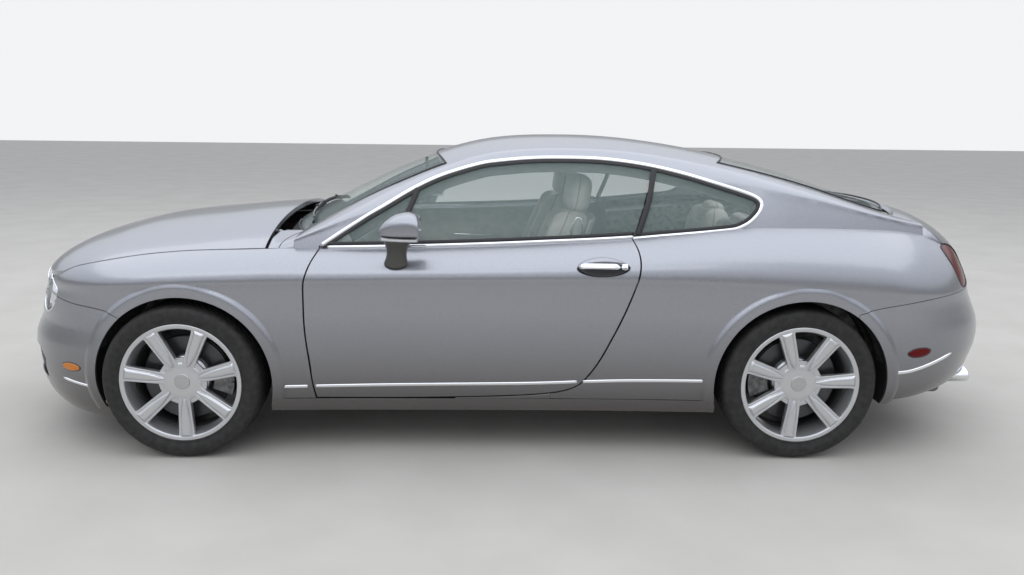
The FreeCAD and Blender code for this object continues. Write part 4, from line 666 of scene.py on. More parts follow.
# x, height of roof and screens on the centre line, fall 600 mm to the side of it
CREST = np.array([
    (-1060, 992, 62), (-1045, 1000, 66), (-946, 1055, 70), (-840, 1114, 72), (-680, 1195, 70),
    (-575, 1242, 67), (-469, 1284, 64), (-349, 1329, 60), (-260, 1355, 56), (-155, 1380, 52),
    (-51, 1396, 50), (53, 1405, 48), (158, 1409, 47), (263, 1410, 46), (368, 1409, 46), (473, 1405, 46),
    (631, 1392, 46), (737, 1379, 46), (843, 1364, 47), (950, 1345, 48), (1111, 1312, 50),
    (1273, 1274, 52), (1436, 1229, 53), (1546, 1193, 53), (1712, 1141, 52), (1840, 1106, 50),
    (1930, 1086, 48)], float)
crest_z, crest_fall = curve(CREST[:, 0], CREST[:, 1]), curve(CREST[:, 0], CREST[:, 2])
print("height at the crest", round(float(crest_z(263.0))), "width", round(2 * float(widest(1292.0))))

# %% Side, nose, tail, bonnet and roof as functions
NOSE_DEPTH, TAIL_DEPTH, PLAN_POWER, SECTION_POWER = 680.0, 640.0, 2.15, 2.2
SILL_Z, FULL_TUCK, BONNET_NOSE_X = 200.0, 72.0, -2288
CREST_HALF, CREST_POWER = 600.0, 2.3
WINDOW_LEAN, WINDOW_BOW = 0.27, 0.00042


def ease(t, n):
    """Superellipse from 0 to 1: (1 - (1 - t)^n)^(1/n)."""
    t = np.clip(t, 0, 1)
    return (1 - (1 - t) ** n) ** (1 / n)


def half_width(x, z):
    """Below the waist the widest half width less the tuck; above it a superellipse quarter."""
    w, zw = widest(x), waist(x)
    low = w - FULL_TUCK * tuck((zw - z) / (zw - SILL_Z))
    q = np.clip((z - zw) / rise(x), 0, 0.995)
    return np.where(z <= zw, low, w * (1 - q ** SECTION_POWER) ** (1 / SECTION_POWER))


def side_y(x, z):
    """Half width, closed in plan at the nose and the tail."""
    closing = ease((x - nose(z)) / NOSE_DEPTH, PLAN_POWER)
    return half_width(x, z) * closing * ease((tail(z) - x) / TAIL_DEPTH, SECTION_POWER)


def end_x(y, z, end, depth, power):
    """x of the car's end at (y, z): end(z) plus the depth that a superellipse plan has used up at
    the share y takes of the half width, found by putting its answer back in a few times."""
    x = end(z) + math.copysign(200, depth)
    for _ in range(8):
        q = np.clip(np.abs(y) / half_width(x, z), 0, 0.9995)
        x = end(z) + depth * (1 - (1 - q ** power) ** (1 / power))
    return x


def nose_x(y, z):
    """x of the front face at (y, z)."""
    return end_x(y, z, nose, NOSE_DEPTH, PLAN_POWER)


def tail_x(y, z):
    """x of the rear face at (y, z)."""
    return end_x(y, z, tail, -TAIL_DEPTH, SECTION_POWER)


def bonnet_z(x, y):
    """Waist plus the shoulder's rise, a superellipse over the bonnet's narrowing plan."""
    w = widest(x) * ease((x - BONNET_NOSE_X) / NOSE_DEPTH, PLAN_POWER)
    q = np.clip(np.abs(y) / np.maximum(w, 1), 0, 0.999)
    return waist(x) + rise(x) * (1 - q ** SECTION_POWER) ** (1 / SECTION_POWER)


def crest(x, y):
    """Roof and screens: centre height less a fall that grows with a power of |y|."""
    return crest_z(x) - crest_fall(x) * (np.abs(y) / CREST_HALF) ** CREST_POWER


def window_y(x, z):
    """Side glass: leans in from the belt, a little more with height."""
    d = z - belt(x)
    return side_y(x, belt(x)) - WINDOW_LEAN * d - WINDOW_BOW * d * d


print("nose at", round(float(nose_x(0.0, 472.0))), "tail at", round(float(tail_x(0.0, 499.0))))

# %% [markdown]
# ## Bright strips
# A strip is a small section carried along a line that lies on the body: at each point one
# direction runs along the line, one lies in the surface and one stands up from it.

# %% Strip helpers
def lift_from(surface, x, z, step=4.0):
    """Outward unit normal of the left side y = -surface(x, z), from its slopes."""
    dx = (surface(x + step, z) - surface(x - step, z)) / (2 * step)
    dz = (surface(x, z + step) - surface(x, z - step)) / (2 * step)
    n = np.stack([-dx, -np.ones_like(dx), -dz], -1)
    return n / np.linalg.norm(n, axis=-1, keepdims=True)


def on_side(x, z, surface=side_y):
    """Points (x, -surface(x, z), z) on the left side of the car."""
    return np.stack([x, -surface(x, z), z], -1)


def along(points, n):
    """Evenly spaced points on a smooth line through (x, z) points."""
    p = smooth_profile(points, 12)
    s = np.r_[0, np.cumsum(np.linalg.norm(np.diff(p, axis=0), axis=1))]
    t = np.linspace(0, s[-1], n)
    return np.stack([np.interp(t, s, p[:, k]) for k in range(p.shape[1])], -1)


def aside(line, d):
    """Moves an (x, z) line sideways by d, to its left as it runs."""
    t = np.gradient(line, axis=0)
    t /= np.linalg.norm(t, axis=1, keepdims=True)
    return line + d * np.stack([-t[:, 1], t[:, 0]], -1)


def strip(line, surface, section, taper=0.0):
    """Carries a closed section of (across, up) along an (x, z) line on y = -surface(x, z); it
    shrinks as a square root over the share `taper` of its length at both ends."""
    x, z = line[:, 0], line[:, 1]
    p = on_side(x, z, surface)
    up = lift_from(surface, x, z)
    t = np.gradient(p, axis=0)
    t /= np.linalg.norm(t, axis=1, keepdims=True)
    across = np.cross(t, up)
    across /= np.linalg.norm(across, axis=1, keepdims=True)
    k = np.ones(len(p))
    if taper:
        s = np.linspace(0, 1, len(p))
        k = np.clip(np.minimum(s, 1 - s) / taper, 0.03, 1) ** 0.5
    sized = np.asarray(section, float)[None] * k[:, None, None]
    return closed_sections(p[:, None] + across[:, None] * sized[..., :1] + up[:, None] * sized[..., 1:])


def domed(width, height, base=-2.0, n=9):
    """Section of a strip: flat foot below the surface, rounded top."""
    a = np.linspace(0, np.pi, n)
    top = np.c_[np.cos(a) * width / 2, np.sin(a) ** 0.7 * height]
    return np.r_[[(width / 2, base)], top, [(-width / 2, base)]]


def flat_bar(width, height, base=-2.0, round_off=1.5):
    """Section of a flat bar with softened top corners."""
    w, r = width / 2, round_off
    return np.array([(w, base), (w, height - r), (w - r, height), (r - w, height), (-w, height - r),
                     (-w, base)])


def proud_glass(lift):
    """The side glass moved outwards by `lift`, for what lies on it."""
    def surface(x, z):
        """Half width of the glass at (x, z) plus the lift."""
        return window_y(x, z) + lift
    return surface


DOORS = ("door_left_leaf", "door_right_leaf")
FIXED = ("car_body", "car_body")


def both_sides(name, pts, faces, material, slot, bodies=FIXED, replaces=(), **more):
    """A left-hand piece and its mirror image, each on the body of its side."""
    for (side, sign), body in zip(SIDES, bodies):
        p = np.asarray(pts) * np.array([1.0, -sign, 1.0])
        swap = [f"{r}_{side}" for r in replaces]
        finish(mesh_piece(f"{name}_{side}", p, faces), material, body, slot, replaces=swap, **more)


print("a domed section has", len(domed(17, 4.5)), "points")

# %% Bright frame of the side windows
WINDOW_TOP = [(-840, 940), (-787, 975), (-740, 1006), (-648, 1064), (-556, 1118), (-464, 1173),
              (-372, 1220), (-282, 1255), (-146, 1294), (-55, 1308), (81, 1320), (217, 1324), (399, 1321),
              (582, 1301), (767, 1263), (954, 1210), (1040, 1184)]
WINDOW_END = [(1083, 1168), (1105, 1153), (1112, 1136), (1104, 1112), (1084, 1086), (1054, 1060),
              (1014, 1040), (975, 1031)]
WINDOW_REAR = [(840, 1017), (662, 1000), (537, 988)]
BELT_FROM_X, BELT_TO_X, BELT_LIFT = -815, 541, 4
window_line = along(WINDOW_TOP + WINDOW_END + WINDOW_REAR, 240)
door_belt = along([(x, float(belt(x)) + BELT_LIFT) for x in np.linspace(BELT_FROM_X, BELT_TO_X, 16)], 90)
window_frame = strip(aside(window_line, 5.5), proud_glass(0.5), domed(17, 4.5))
both_sides("window_trim", *window_frame, chrome, "chrome")
door_trim = strip(door_belt, proud_glass(2.0), domed(15, 4.5, -3))
both_sides("window_trim_door", *door_trim, chrome, "chrome", DOORS)
print("strip points", len(window_line))

# %% [markdown]
# The strip along the sill and the ones on the bumper corners follow the tuck of the side, so
# they use the same carrying rule with the body's own y(x, z). The side markers are shallow
# oval lenses laid on the bumper corners.

# %% Sill and bumper strips
SILL_SECTION = domed(15, 5.0, -3)
LOW_STRIPS = (
    ("sill_strip_front", [(-1060, 322), (-960, 323), (-905, 324)], 30, SILL_SECTION, 0.0, FIXED),
    ("sill_strip_door", [(-872, 325), (-492, 332), (0, 339), (200, 345), (296, 350)], 90, SILL_SECTION,
     0.0, DOORS),
    ("sill_strip_rear", [(322, 351), (500, 357), (700, 360), (905, 362)], 60, SILL_SECTION, 0.0, FIXED),
    ("front_corner_strip", [(-2019, 335), (-1960, 326), (-1900, 318), (-1850, 313)], 50,
     domed(13, 6.0, -3), 0.12, FIXED),
    ("rear_corner_strip", [(1695, 407), (1777, 413), (1888, 444), (2000, 484)], 60,
     domed(16, 6.0, -3), 0.12, FIXED))
for name, points, n, section, taper, bodies in LOW_STRIPS:
    both_sides(name, *strip(along(points, n), side_y, section, taper), chrome, "chrome", bodies)
print("low strips", len(LOW_STRIPS) * 2)


# %% Side markers
def oval_on_side(cx, cz, rx, rz, height, lean=0.0, rings=10, steps=48):
    """Oval dome on the side: rings of a shrinking ellipse, lifted by height * (1 - q^6)^(1/2), and
    a foot 3 mm under the surface."""
    q = np.linspace(0, 1, rings)[:, None]
    a = full_turn(steps)[None, :]
    u, v = q * rx * np.cos(a), q * rz * np.sin(a)
    x, z = cx + u - lean * v, cz + v + lean * u
    base, up = on_side(x, z), lift_from(side_y, x, z)
    top = base + up * (height * (1 - q ** 6) ** 0.5)[..., None]
    pts = np.concatenate([top, (base[-1] - up[-1] * 3.0)[None]])
    last = list(range(rings * steps, (rings + 1) * steps))[::-1]
    return pts.reshape(-1, 3), quads(rings + 1, steps, False, True).tolist() + [last]


FRONT_MARKER, REAR_MARKER = (-1960, 397), (1820, 501)
REAR_MARKER_LEAN = 0.10
both_sides("side_marker_front", *oval_on_side(*FRONT_MARKER, 50, 18.5, 5), lens_amber, "lamp")
both_sides("side_marker_rear", *oval_on_side(*REAR_MARKER, 54, 20, 5, REAR_MARKER_LEAN), lens_red, "red_lamp")
both_sides("marker_rim_front", *oval_on_side(*FRONT_MARKER, 54, 22, 2.0), gloss_black, "trim")
both_sides("marker_rim_rear", *oval_on_side(*REAR_MARKER, 58, 24, 2.0, REAR_MARKER_LEAN), gloss_black, "trim")
print("side markers at", FRONT_MARKER, REAR_MARKER)

# %% [markdown]
# ## Seals and dividers
# Black rubber runs between the glass and the bright frame. The bars between the panes are the
# same kind of strip with a flat section.

# %% Seals of the side glass
CENTRE_BAR = [(640, 1280), (632, 1240), (613, 1147), (588, 1070), (562, 1000)]
FRONT_BAR = [(-424, 1190), (-446, 1130), (-466, 1080), (-480, 1030), (-490, 950)]
SIDE_SEALS = (
    ("window_seal", aside(window_line, -9.5), 0.5, flat_bar(16, 2.2), FIXED),
    ("window_seal_door", door_belt + [0, 15], 1.2, flat_bar(15, 2.6), DOORS),
    ("centre_bar", along(CENTRE_BAR, 60), 1.5, flat_bar(25, 4.0), DOORS),
    ("front_bar", along(FRONT_BAR, 50), 1.5, flat_bar(23, 4.0), DOORS))
for name, line, lift, section, bodies in SIDE_SEALS:
    both_sides(name, *strip(line, proud_glass(lift), section), black_trim, "trim", bodies)
print("side seals and bars", 2 * len(SIDE_SEALS))

# %% [markdown]
# ## Seals of the screens
# The windscreen and the rear window are bedded in round rubber that follows the roof surface.
# Each stretch is a line of (x, y) points along the edge of the glass.

# %% Screen seals
SCREEN_EDGES = {
    "screen_seal_side": ([(-1036, 300), (-1020, 420), (-985, 545), (-955, 612), (-900, 609), (-700, 585),
                          (-480, 567), (-305, 556)], 5.0),
    "screen_seal_top": ([(-305, 556), (-328, 430), (-350, 300), (-370, 140), (-377, 0)], 4.5),
    "rear_seal_front": ([(1064, 0), (1060, 140), (1045, 270), (1010, 400), (965, 526)], 4.5),
    "rear_seal_side": ([(965, 526), (1130, 530), (1300, 531), (1530, 537), (1755, 541)], 4.5),
    "rear_seal_low": ([(1755, 541), (1800, 430), (1845, 300), (1875, 150), (1885, 0)], 4.5)}
for name, (edge, radius) in SCREEN_EDGES.items():
    xy = along(edge, 140) * [1, -1]
    path = np.c_[xy, crest(xy[:, 0], xy[:, 1]) + 0.5]
    both_sides(name, *tube(path, radius, 10), black_trim, "trim")
print("screen seals", len(SCREEN_EDGES) * 2)

# %% [markdown]
# ## Outside mirrors
# Each mirror is a set of oval sections stacked along the car: a nose that rises to a crown
# near the glass and ends in a flat rim. A clear lamp strip and a tapered foot sit below it.

# %% Mirror head
CAP_TOP = curve([-574, -560, -530, -490, -444, -415, -400, -394],
                [1026, 1052, 1082, 1104, 1113, 1108, 1097, 1086])
CAP_LOW = curve([-574, -560, -500, -394], [1024, 1016, 1013, 1014])
CAP_HALF = curve([-574, -560, -530, -490, -444, -394], [4, 36, 62, 80, 90, 92])
MIRROR_Y, CAP_NOSE_X, CAP_REAR_X, FULL_BELOW = -958.0, -574, -398, 7.0


def oval_sections(xs, low, high, half, power=2.4, around=48, y0=MIRROR_Y, inset=0.0, below=None):
    """Sections square to the car's length; each is a superellipse between low(x) and high(x), its
    lower half with the power `below`, shrunk by `inset`."""
    a = full_turn(around)[None, :]
    c, s = np.cos(a), np.sin(a)
    e = np.where(s < 0, 2.0 / (below or power), 2.0 / power)
    x, inset = np.asarray(xs, float)[:, None], np.broadcast_to(inset, len(xs))[:, None]
    z0, rz = (low(x) + high(x)) / 2, np.maximum((high(x) - low(x)) / 2 - inset, 0.5)
    ry = np.maximum(half(x) - inset, 0.5)
    y, z = y0 + ry * squarer(c, e), z0 + rz * squarer(s, e)
    return np.stack([np.broadcast_to(x, y.shape), y, z], -1)


def cap_rings(xs, inset=0.0):
    """Sections of the mirror head at xs, each shrunk by its inset."""
    return oval_sections(xs, CAP_LOW, CAP_TOP, CAP_HALF, inset=inset, below=FULL_BELOW)


cap_x = CAP_NOSE_X + (CAP_REAR_X - CAP_NOSE_X) * np.linspace(0, 1, 40) ** 1.5
cap_rim = cap_rings([-396, -395.5, -398, -408, -409], [1.0, 3.5, 5.5, 7.0, 30.0])
head = np.concatenate([cap_rings(cap_x), cap_rim])
both_sides("mirror_head", *closed_sections(head), paint, "paint", DOORS, replaces=["mirror"])
mirror_pane = cap_rings([-408.0, -404.5, -404.0, -403.6], [8.0, 9.0, 12.0, 44.0])
both_sides("mirror_glass", *closed_sections(mirror_pane), chrome, "chrome", DOORS)
print("mirror head", CAP_REAR_X - CAP_NOSE_X, "mm long")

# %% Mirror lamp strip and foot
STRIP_HALF = curve([-566, -550, -500, -444, -400], [14, 40, 68, 79, 80])
strip_x = np.linspace(-566, -400, 34)


def level_slab(xs, low, high, narrower, power):
    """A flat oval slab between the heights low and high, `narrower` than the lamp strip."""
    sections = oval_sections(xs, lambda x: 0 * x + low, lambda x: 0 * x + high,
                             lambda x: STRIP_HALF(x) - narrower, power)
    return closed_sections(sections)


both_sides("mirror_lamp", *level_slab(strip_x, 990, 1014, 0.0, 3.2), lens_clear, "lamp", DOORS)
both_sides("mirror_lamp_back", *level_slab(strip_x[2:-1], 993, 1011, 2, 3.0), lamp_back, "lamp", DOORS)
both_sides("mirror_seam", *level_slab(strip_x, 1012.5, 1015, 1.5, 3.2), gloss_black, "trim", DOORS)
FOOT_LOW, FOOT_RISE = np.array([-505.0, -896.0, 884.0]), np.array([12.0, -34.0, 107.0])
t = np.linspace(0, 1, 22)[:, None]
a = full_turn(40)[None, :]
swell = 1 - 0.20 * np.sin(np.pi * np.minimum(t * 1.15, 1.0))
rx, ry = (52 + 6 * t) * swell, (26 + 18 * t) * swell
tilt = (1 - t) ** 2 * 0.85
centre = FOOT_LOW + FOOT_RISE * np.concatenate([t, t ** 1.3, t], -1)
foot = centre[:, None] + np.stack([rx * np.cos(a), ry * np.sin(a), ry * np.sin(a) * tilt], -1)
# painted shade: the foot's dark grey stands in for shade on a body-coloured foot
both_sides("mirror_foot", *closed_sections(foot), foot_painted_shade, "chrome", DOORS)
print("mirror foot stands at", FOOT_LOW)

# %% [markdown]
# ## Door handles
# A dark oval bowl is let into the door and a bright bar bridges it; the lock button is the
# separate rear end of the bar.

# %% Handles
HANDLE_X, HANDLE_Z = 395.0, 874.0


def bowl_points(rx=112.0, rz=39.0, depth=17.0, wall=2.2, rings=16, steps=72):
    """Dish: depth falls as (1 - q^2)^0.6 from the rim, on the door's own surface; a second face
    one wall behind it closes the piece."""
    q = np.linspace(1, 0.02, rings)[:, None]
    a = full_turn(steps)[None, :]
    x = HANDLE_X + q * rx * np.cos(a)
    z = HANDLE_Z + q * rz * np.sin(a) * (1 - 0.18 * np.cos(a) ** 2)
    up = lift_from(side_y, x, z)
    face = on_side(x, z) - up * (depth * (1 - q ** 2) ** 0.6 - 1.0 * q ** 8)[..., None]
    back = face - up * wall
    return closed_sections(np.concatenate([face[::-1], back]))


def bar_points(x0, x1, bulge, rx=13.0, ry=7.0, n=44, sides=20):
    """Bar whose ends dip to the door and whose middle stands `bulge` proud; its sections are
    rounded rectangles."""
    t = np.linspace(0, 1, n)
    to_end = np.minimum(t, 1 - t)
    stand = -3 + (bulge + 3) * np.sin(share(to_end, 0, 0.16) * np.pi / 2) ** 0.8
    slim = 0.45 + 0.55 * np.sin(share(to_end, 0, 0.10) * np.pi / 2)
    x, z = x0 + (x1 - x0) * t, np.full(n, HANDLE_Z)
    up = lift_from(side_y, x, z)
    w = full_turn(sides)
    c, s = np.cos(w), np.sin(w)
    wide = (squarer(c, 0.7) * rx)[None, :, None] * slim[:, None, None]
    tall = (squarer(s, 0.8) * ry)[None, :, None] + stand[:, None, None]
    across = np.array([0.0, 0.0, 1.0]) - up * up[:, 2:3]
    across /= np.linalg.norm(across, axis=1, keepdims=True)
    return closed_sections(on_side(x, z)[:, None] + up[:, None] * tall + across[:, None] * wide)


both_sides("handle_bowl", *bowl_points(), black_trim, "trim", DOORS)
both_sides("handle_bar", *bar_points(288, 470, 15), chrome, "chrome", DOORS, replaces=["handle"])
both_sides("handle_button", *bar_points(472, 503, 13, 13.5, 7.5, 20), chrome, "chrome", DOORS)
LOCK_X, LOCK_PROUD = 487.0, 20
lock_at = (LOCK_X, -float(side_y(LOCK_X, HANDLE_Z)) - LOCK_PROUD, HANDLE_Z)
lock = turned([(0, -4), (6.5, -4), (8.0, -2), (8.5, 3), (8.5, 6), (0, 6)], lock_at, 32, ring=False)
both_sides("handle_lock", *lock, brushed, "chrome", DOORS)
print("handle at", HANDLE_X, HANDLE_Z)

# %% [markdown]
# ## Seats
# A pad is two faces over one plan, joined at a rounded border. Its plan is a superellipse, its
# crown falls to the border like a filled cover does, and the bolsters, the sewn channels and
# the border seam are added as small heights. Cushions are flat only below.

# %% Pads
SEAM_WIDTH = 4.5


def spread(n, tight=1.7):
    """n values from -1 to 1, closer together near both ends."""
    k = np.linspace(-1, 1, n)
    return np.sign(k) * (1 - (1 - np.abs(k)) ** tight)


def sewn(distance):
    """Depth of a seam, a bell curve of the distance to it in millimetres."""
    return np.exp(-(distance / SEAM_WIDTH) ** 2)


def pad_faces(width, height, front, back, corner=5.0, n=91, border=0.13, narrow=0.0, crown=0.16,
              bolster=0.0, bolster_at=0.74, channels=(), cross=(), groove=7.0):
    """Front and back faces in local (across, up, out). The square (u, v) is drawn to a superellipse
    by its ratio of norms, `narrow` tapers it upwards, and out is dome plus bolster less seams, all
    times a quarter circle at the border."""
    u, v = np.meshgrid(spread(n), spread(n), indexing="ij")
    off = np.abs(u)
    big = np.maximum(off, np.abs(v))
    ring = (off ** corner + np.abs(v) ** corner) ** (1 / corner)
    scale = np.where(ring > 1e-9, big / np.maximum(ring, 1e-9), 1.0)
    a = u * scale * width / 2 * (1 - narrow * (v * scale + 1) / 2)
    b = v * scale * height / 2
    edge = np.clip((1 - big) / border, 0, 1)
    round_off = np.sqrt(np.clip(1 - (1 - edge) ** 2, 0, 1))
    dome = 1 + crown * (1 - np.clip(big, 0, 1) ** 2)
    side = share(off, bolster_at - 0.16, 0.16)
    lift = bolster * side * side * (3 - 2 * side)
    seam = groove * sewn((off - bolster_at + 0.08) * width / 2) * (bolster > 0)
    inside = np.clip((bolster_at - 0.10 - off) / 0.05, 0, 1) * np.clip((0.86 - np.abs(v)) / 0.06, 0, 1)
    for at in channels:
        seam = seam + groove * 0.8 * sewn(u * width / 2 - at) * inside
    for at in cross:
        seam = seam + groove * sewn(b - at) * np.clip((bolster_at - off) / 0.1, 0, 1)
    out = (front * dome + lift - seam) * round_off
    return np.stack([a, b, out], -1), np.stack([a, b, -back * round_off], -1)


def placed(p, origin, across, upward, bend=0.0):
    """Local points to the car, with `out` as across x upward; `bend` bows a pad along its height."""
    across, upward = (np.asarray(v, float) / np.linalg.norm(v) for v in (across, upward))
    up = p[..., 1:2]
    out = p[..., 2:] - bend * (up / (np.ptp(up) / 2)) ** 2
    return np.asarray(origin) + p[..., :1] * across + up * upward + out * np.cross(across, upward)


def welt(front, out_share=0.90, radius=3.2):
    """Piping laid on the front face along the grid ring that lies `out_share` of the way out."""
    n = front.shape[0]
    i = int(round((n - 1) * (1 - out_share) / 2))
    j = n - 1 - i
    path = np.concatenate([front[i:j, i], front[j, i:j], front[j:i:-1, j], front[i, j:i:-1]])
    return tube(path[::2], radius, 8, closed=True)


def inside_car(name, points_and_faces, material, slot, **more):
    """A piece of the cabin that stays on the car's body."""
    return finish(mesh_piece(name, *points_and_faces), material, "car_body", slot, **more)


def pad(name, origin, across, upward, *size, bend=0.0, replaces=(), **more):
    """Its size is its width, its height, and how far its front and its back stand out."""
    front, back = (placed(face, origin, across, upward, bend) for face in pad_faces(*size, **more))
    piece = inside_car(name, shell(front, back), leather, "leather", replaces=replaces)
    inside_car(name + "_piping", welt(front), piping, "leather")


def plan_stack(cx, cy, half_x, half_y, levels, power=4.0, n=72):
    """Closed body of superellipse plans; each level is (height, share of the plan)."""
    a = full_turn(n)
    x, y = squarer(np.cos(a), 2 / power), squarer(np.sin(a), 2 / power)
    z, k = (column[:, None] for column in np.array(levels, float).T)
    return closed_sections(np.stack([cx + half_x * k * x, cy + half_y * k * y, z + 0 * x], -1))


print("seams are", SEAM_WIDTH, "mm wide")

# %% Front seats
SEAT_Y, BELT_GUIDE_ASIDE, POST_ASIDE = 400.0, 196.0, 62
CUSHION_CHANNELS, BACK_CHANNELS = (-96, -48, 0, 48, 96), (-84, -42, 0, 42, 84)
SEAT_BASE = ((246, 0.90), (250, 0.94), (330, 0.99), (352, 0.98), (356, 0.9))
for side, sign in SIDES:
    y = sign * SEAT_Y
    pad(f"seat_cushion_{side}", (-168, y, 378), (0, 1, 0), (-500, 0, 45), 476, 490, 80, 66, corner=6,
        crown=0.10, bolster=32, bolster_at=0.78, channels=CUSHION_CHANNELS, cross=(150,),
        replaces=[f"seat_{side}"])
    pad(f"seat_back_{side}", (188, y, 748), (0, -1, 0), (250, 0, 660), 474, 700, 60, 60, corner=5,
        narrow=0.22, crown=0.10, bend=18, bolster=42, bolster_at=0.74, channels=BACK_CHANNELS, cross=(215,))
    pad(f"headrest_{side}", (330, y, 1146), (0, -1, 0), (26, 0, 165), 262, 184, 54, 50, corner=3.4,
        crown=0.3, border=0.42, groove=0)
    t, a = np.linspace(0, 1, 24)[:, None], np.linspace(-1, 1, 25)[None, :]
    hollow = 36 - 26 * np.abs(a) ** 6 - 10 * a ** 2
    rear_face = np.stack([204 + 168 * t + hollow, y + (232 - 45 * t) * a, 520 + 520 * t + 0 * a], -1)
    inside_car(f"seat_shell_{side}", shell(rear_face, rear_face - [7, 0, 0]), leather, "leather", bevel=1.5)
    posts = [tube([(310, y + dy, 1030), (320, y + dy, 1075), (328, y + dy, 1110)], 6, 14)
             for dy in (-POST_ASIDE, POST_ASIDE)]
    inside_car(f"headrest_posts_{side}", joined(posts), chrome, "chrome")
    inside_car(f"seat_base_{side}", plan_stack(-168, y, 232, 216, SEAT_BASE), dark_leather, "leather")
w = full_turn(48)
for side, sign in SIDES:
    guide_y = sign * (SEAT_Y + BELT_GUIDE_ASIDE)
    loop = np.stack([304 + 24 * np.cos(w) + 7.2 * np.sin(w), guide_y + 0 * w, 985 + 66 * np.sin(w)], -1)
    inside_car(f"belt_guide_{side}", tube(loop, 6.0, 12, closed=True), chrome, "chrome")
print("front seats at", SEAT_Y, "mm from the middle")

# %% Rear seats
REAR_SEAT_Y = 300.0
for side, sign in SIDES:
    y = sign * REAR_SEAT_Y
    pad(f"rear_cushion_{side}", (935, y, 462), (0, 1, 0), (-380, 0, 30), 500, 400, 76, 66, corner=5,
        crown=0.12, bolster=24, bolster_at=0.76, channels=BACK_CHANNELS,
        replaces=["rear_seat"] if side == "left" else ())
    pad(f"rear_back_{side}", (1118, y, 750), (0, -1, 0), (120, 0, 520), 500, 540, 58, 50, corner=4.5,
        crown=0.12, narrow=0.10, bolster=28, bolster_at=0.76, channels=BACK_CHANNELS, cross=(165,))
    pad(f"rear_headrest_{side}", (1168, y, 990), (0, -1, 0), (20, 0, 110), 250, 100, 42, 38, corner=3.4,
        crown=0.2, border=0.4, groove=0)
print("rear seats at", REAR_SEAT_Y, "mm from the middle")

# %% [markdown]
# ## Cabin
# The dashboard is one section drawn in (x, z) and carried across the car, bowed towards the
# cabin at its ends. The steering wheel is a ring on a tilted plane; its points are worked out
# flat and then turned.

# %% Dashboard
DASH_SECTION = [(-955, 600), (-905, 560), (-790, 560), (-728, 585), (-690, 640), (-672, 720), (-676, 780),
                (-700, 826), (-722, 862), (-742, 884), (-790, 894), (-870, 894), (-940, 888)]
DASH_HALF, DRIVER_Y, HOOD_HALF, HOOD_HEIGHT, BOW_DEPTH = 636, -370, 150, 26, 26
VENEER_ROWS, VENEER_COLUMNS = slice(4, 61), slice(24, 37)
section = smooth_profile(DASH_SECTION, 5)
dash_y = np.linspace(-DASH_HALF, DASH_HALF, 65)[:, None]
sx, sz = section[None, :, 0], section[None, :, 1]
bow = BOW_DEPTH * (np.abs(dash_y) / DASH_HALF) ** 3
hood = HOOD_HEIGHT * np.exp(-((dash_y - DRIVER_Y) / HOOD_HALF) ** 4)
hood_share = share(sz, 780, 100) * share(sx, -860, 60)
dash = np.stack([sx - bow * share(sx, -800, 130), dash_y + 0 * sx, sz + hood * hood_share], -1)
inside_car("dashboard_skin", closed_sections(dash), dark_leather, "leather", replaces=["dashboard"])
band = dash[VENEER_ROWS, VENEER_COLUMNS]
inside_car("dashboard_veneer", shell(band + [3.5, 0, 0], band), walnut, "trim", bevel=1.2)
VENT_RING = [(30, 0), (36, 2), (38, 7), (35, 10), (31, 8), (28, 3)]
VENT_HUB = [(0, 4), (8, 4), (10, 0), (0, 0)]
vents = []
for y in (-560, -90, 90, 560):
    at = (-690 + 14 - BOW_DEPTH * (abs(y) / DASH_HALF) ** 3, y, 770)
    vents += [turned(VENT_RING, at, 48, axis=0), turned(VENT_HUB, at, 32, axis=0, ring=False)]
inside_car("dashboard_vents", joined(vents), chrome, "chrome")
print("dashboard", 2 * DASH_HALF, "mm wide")

# %% Steering wheel
TILT = math.radians(25.0)
WHEEL_AT = np.array([-520.0, DRIVER_Y, 800.0])
RIM_MM, GRIP_MM = 182, 14.5
ARM_ANGLES = (0.12, math.pi - 0.12, -math.pi / 2 - 0.28, -math.pi / 2 + 0.28)
BOSS = [(0, 12), (30, 11), (54, 5), (62, -6), (60, -22), (34, -34), (0, -36)]


def on_wheel(name, points_and_faces, material, slot, **more):
    """A piece of the steering wheel, from flat points (right, up, towards the seat) to its
    tilted plane."""
    pts, faces = points_and_faces
    towards = np.array([math.cos(TILT), 0, math.sin(TILT)])
    upwards = np.array([-math.sin(TILT), 0, math.cos(TILT)])
    p = WHEEL_AT + pts[:, :1] * np.array([0, 1.0, 0]) + pts[:, 1:2] * upwards + pts[:, 2:] * towards
    finish(mesh_piece(name, p, faces), material, "steering", slot, **more)


w = full_turn(96)
wheel_rim = np.stack([RIM_MM * np.cos(w), RIM_MM * np.sin(w), 0 * w], -1)
on_wheel("steering_rim", tube(wheel_rim, GRIP_MM, 20, closed=True, flat=1.12), dark_leather, "leather",
         replaces=["steering_wheel"])
r = np.linspace(44, 178, 12)
arms = [tube(np.stack([r * math.cos(a), r * math.sin(a), -16 + 0.09 * r], -1), 9, 16, flat=2.1)
        for a in ARM_ANGLES]
on_wheel("steering_spokes", joined(arms), brushed, "chrome")
on_wheel("steering_boss", turned(BOSS, steps=64, axis=2, ring=False), dark_leather, "leather")
print("steering wheel", 2 * (RIM_MM + GRIP_MM), "mm across")

# %% [markdown]
# Between the seats lies the tunnel with an armrest and the selector. Each is a stack of
# rounded plans, so one table of heights and shares draws it.

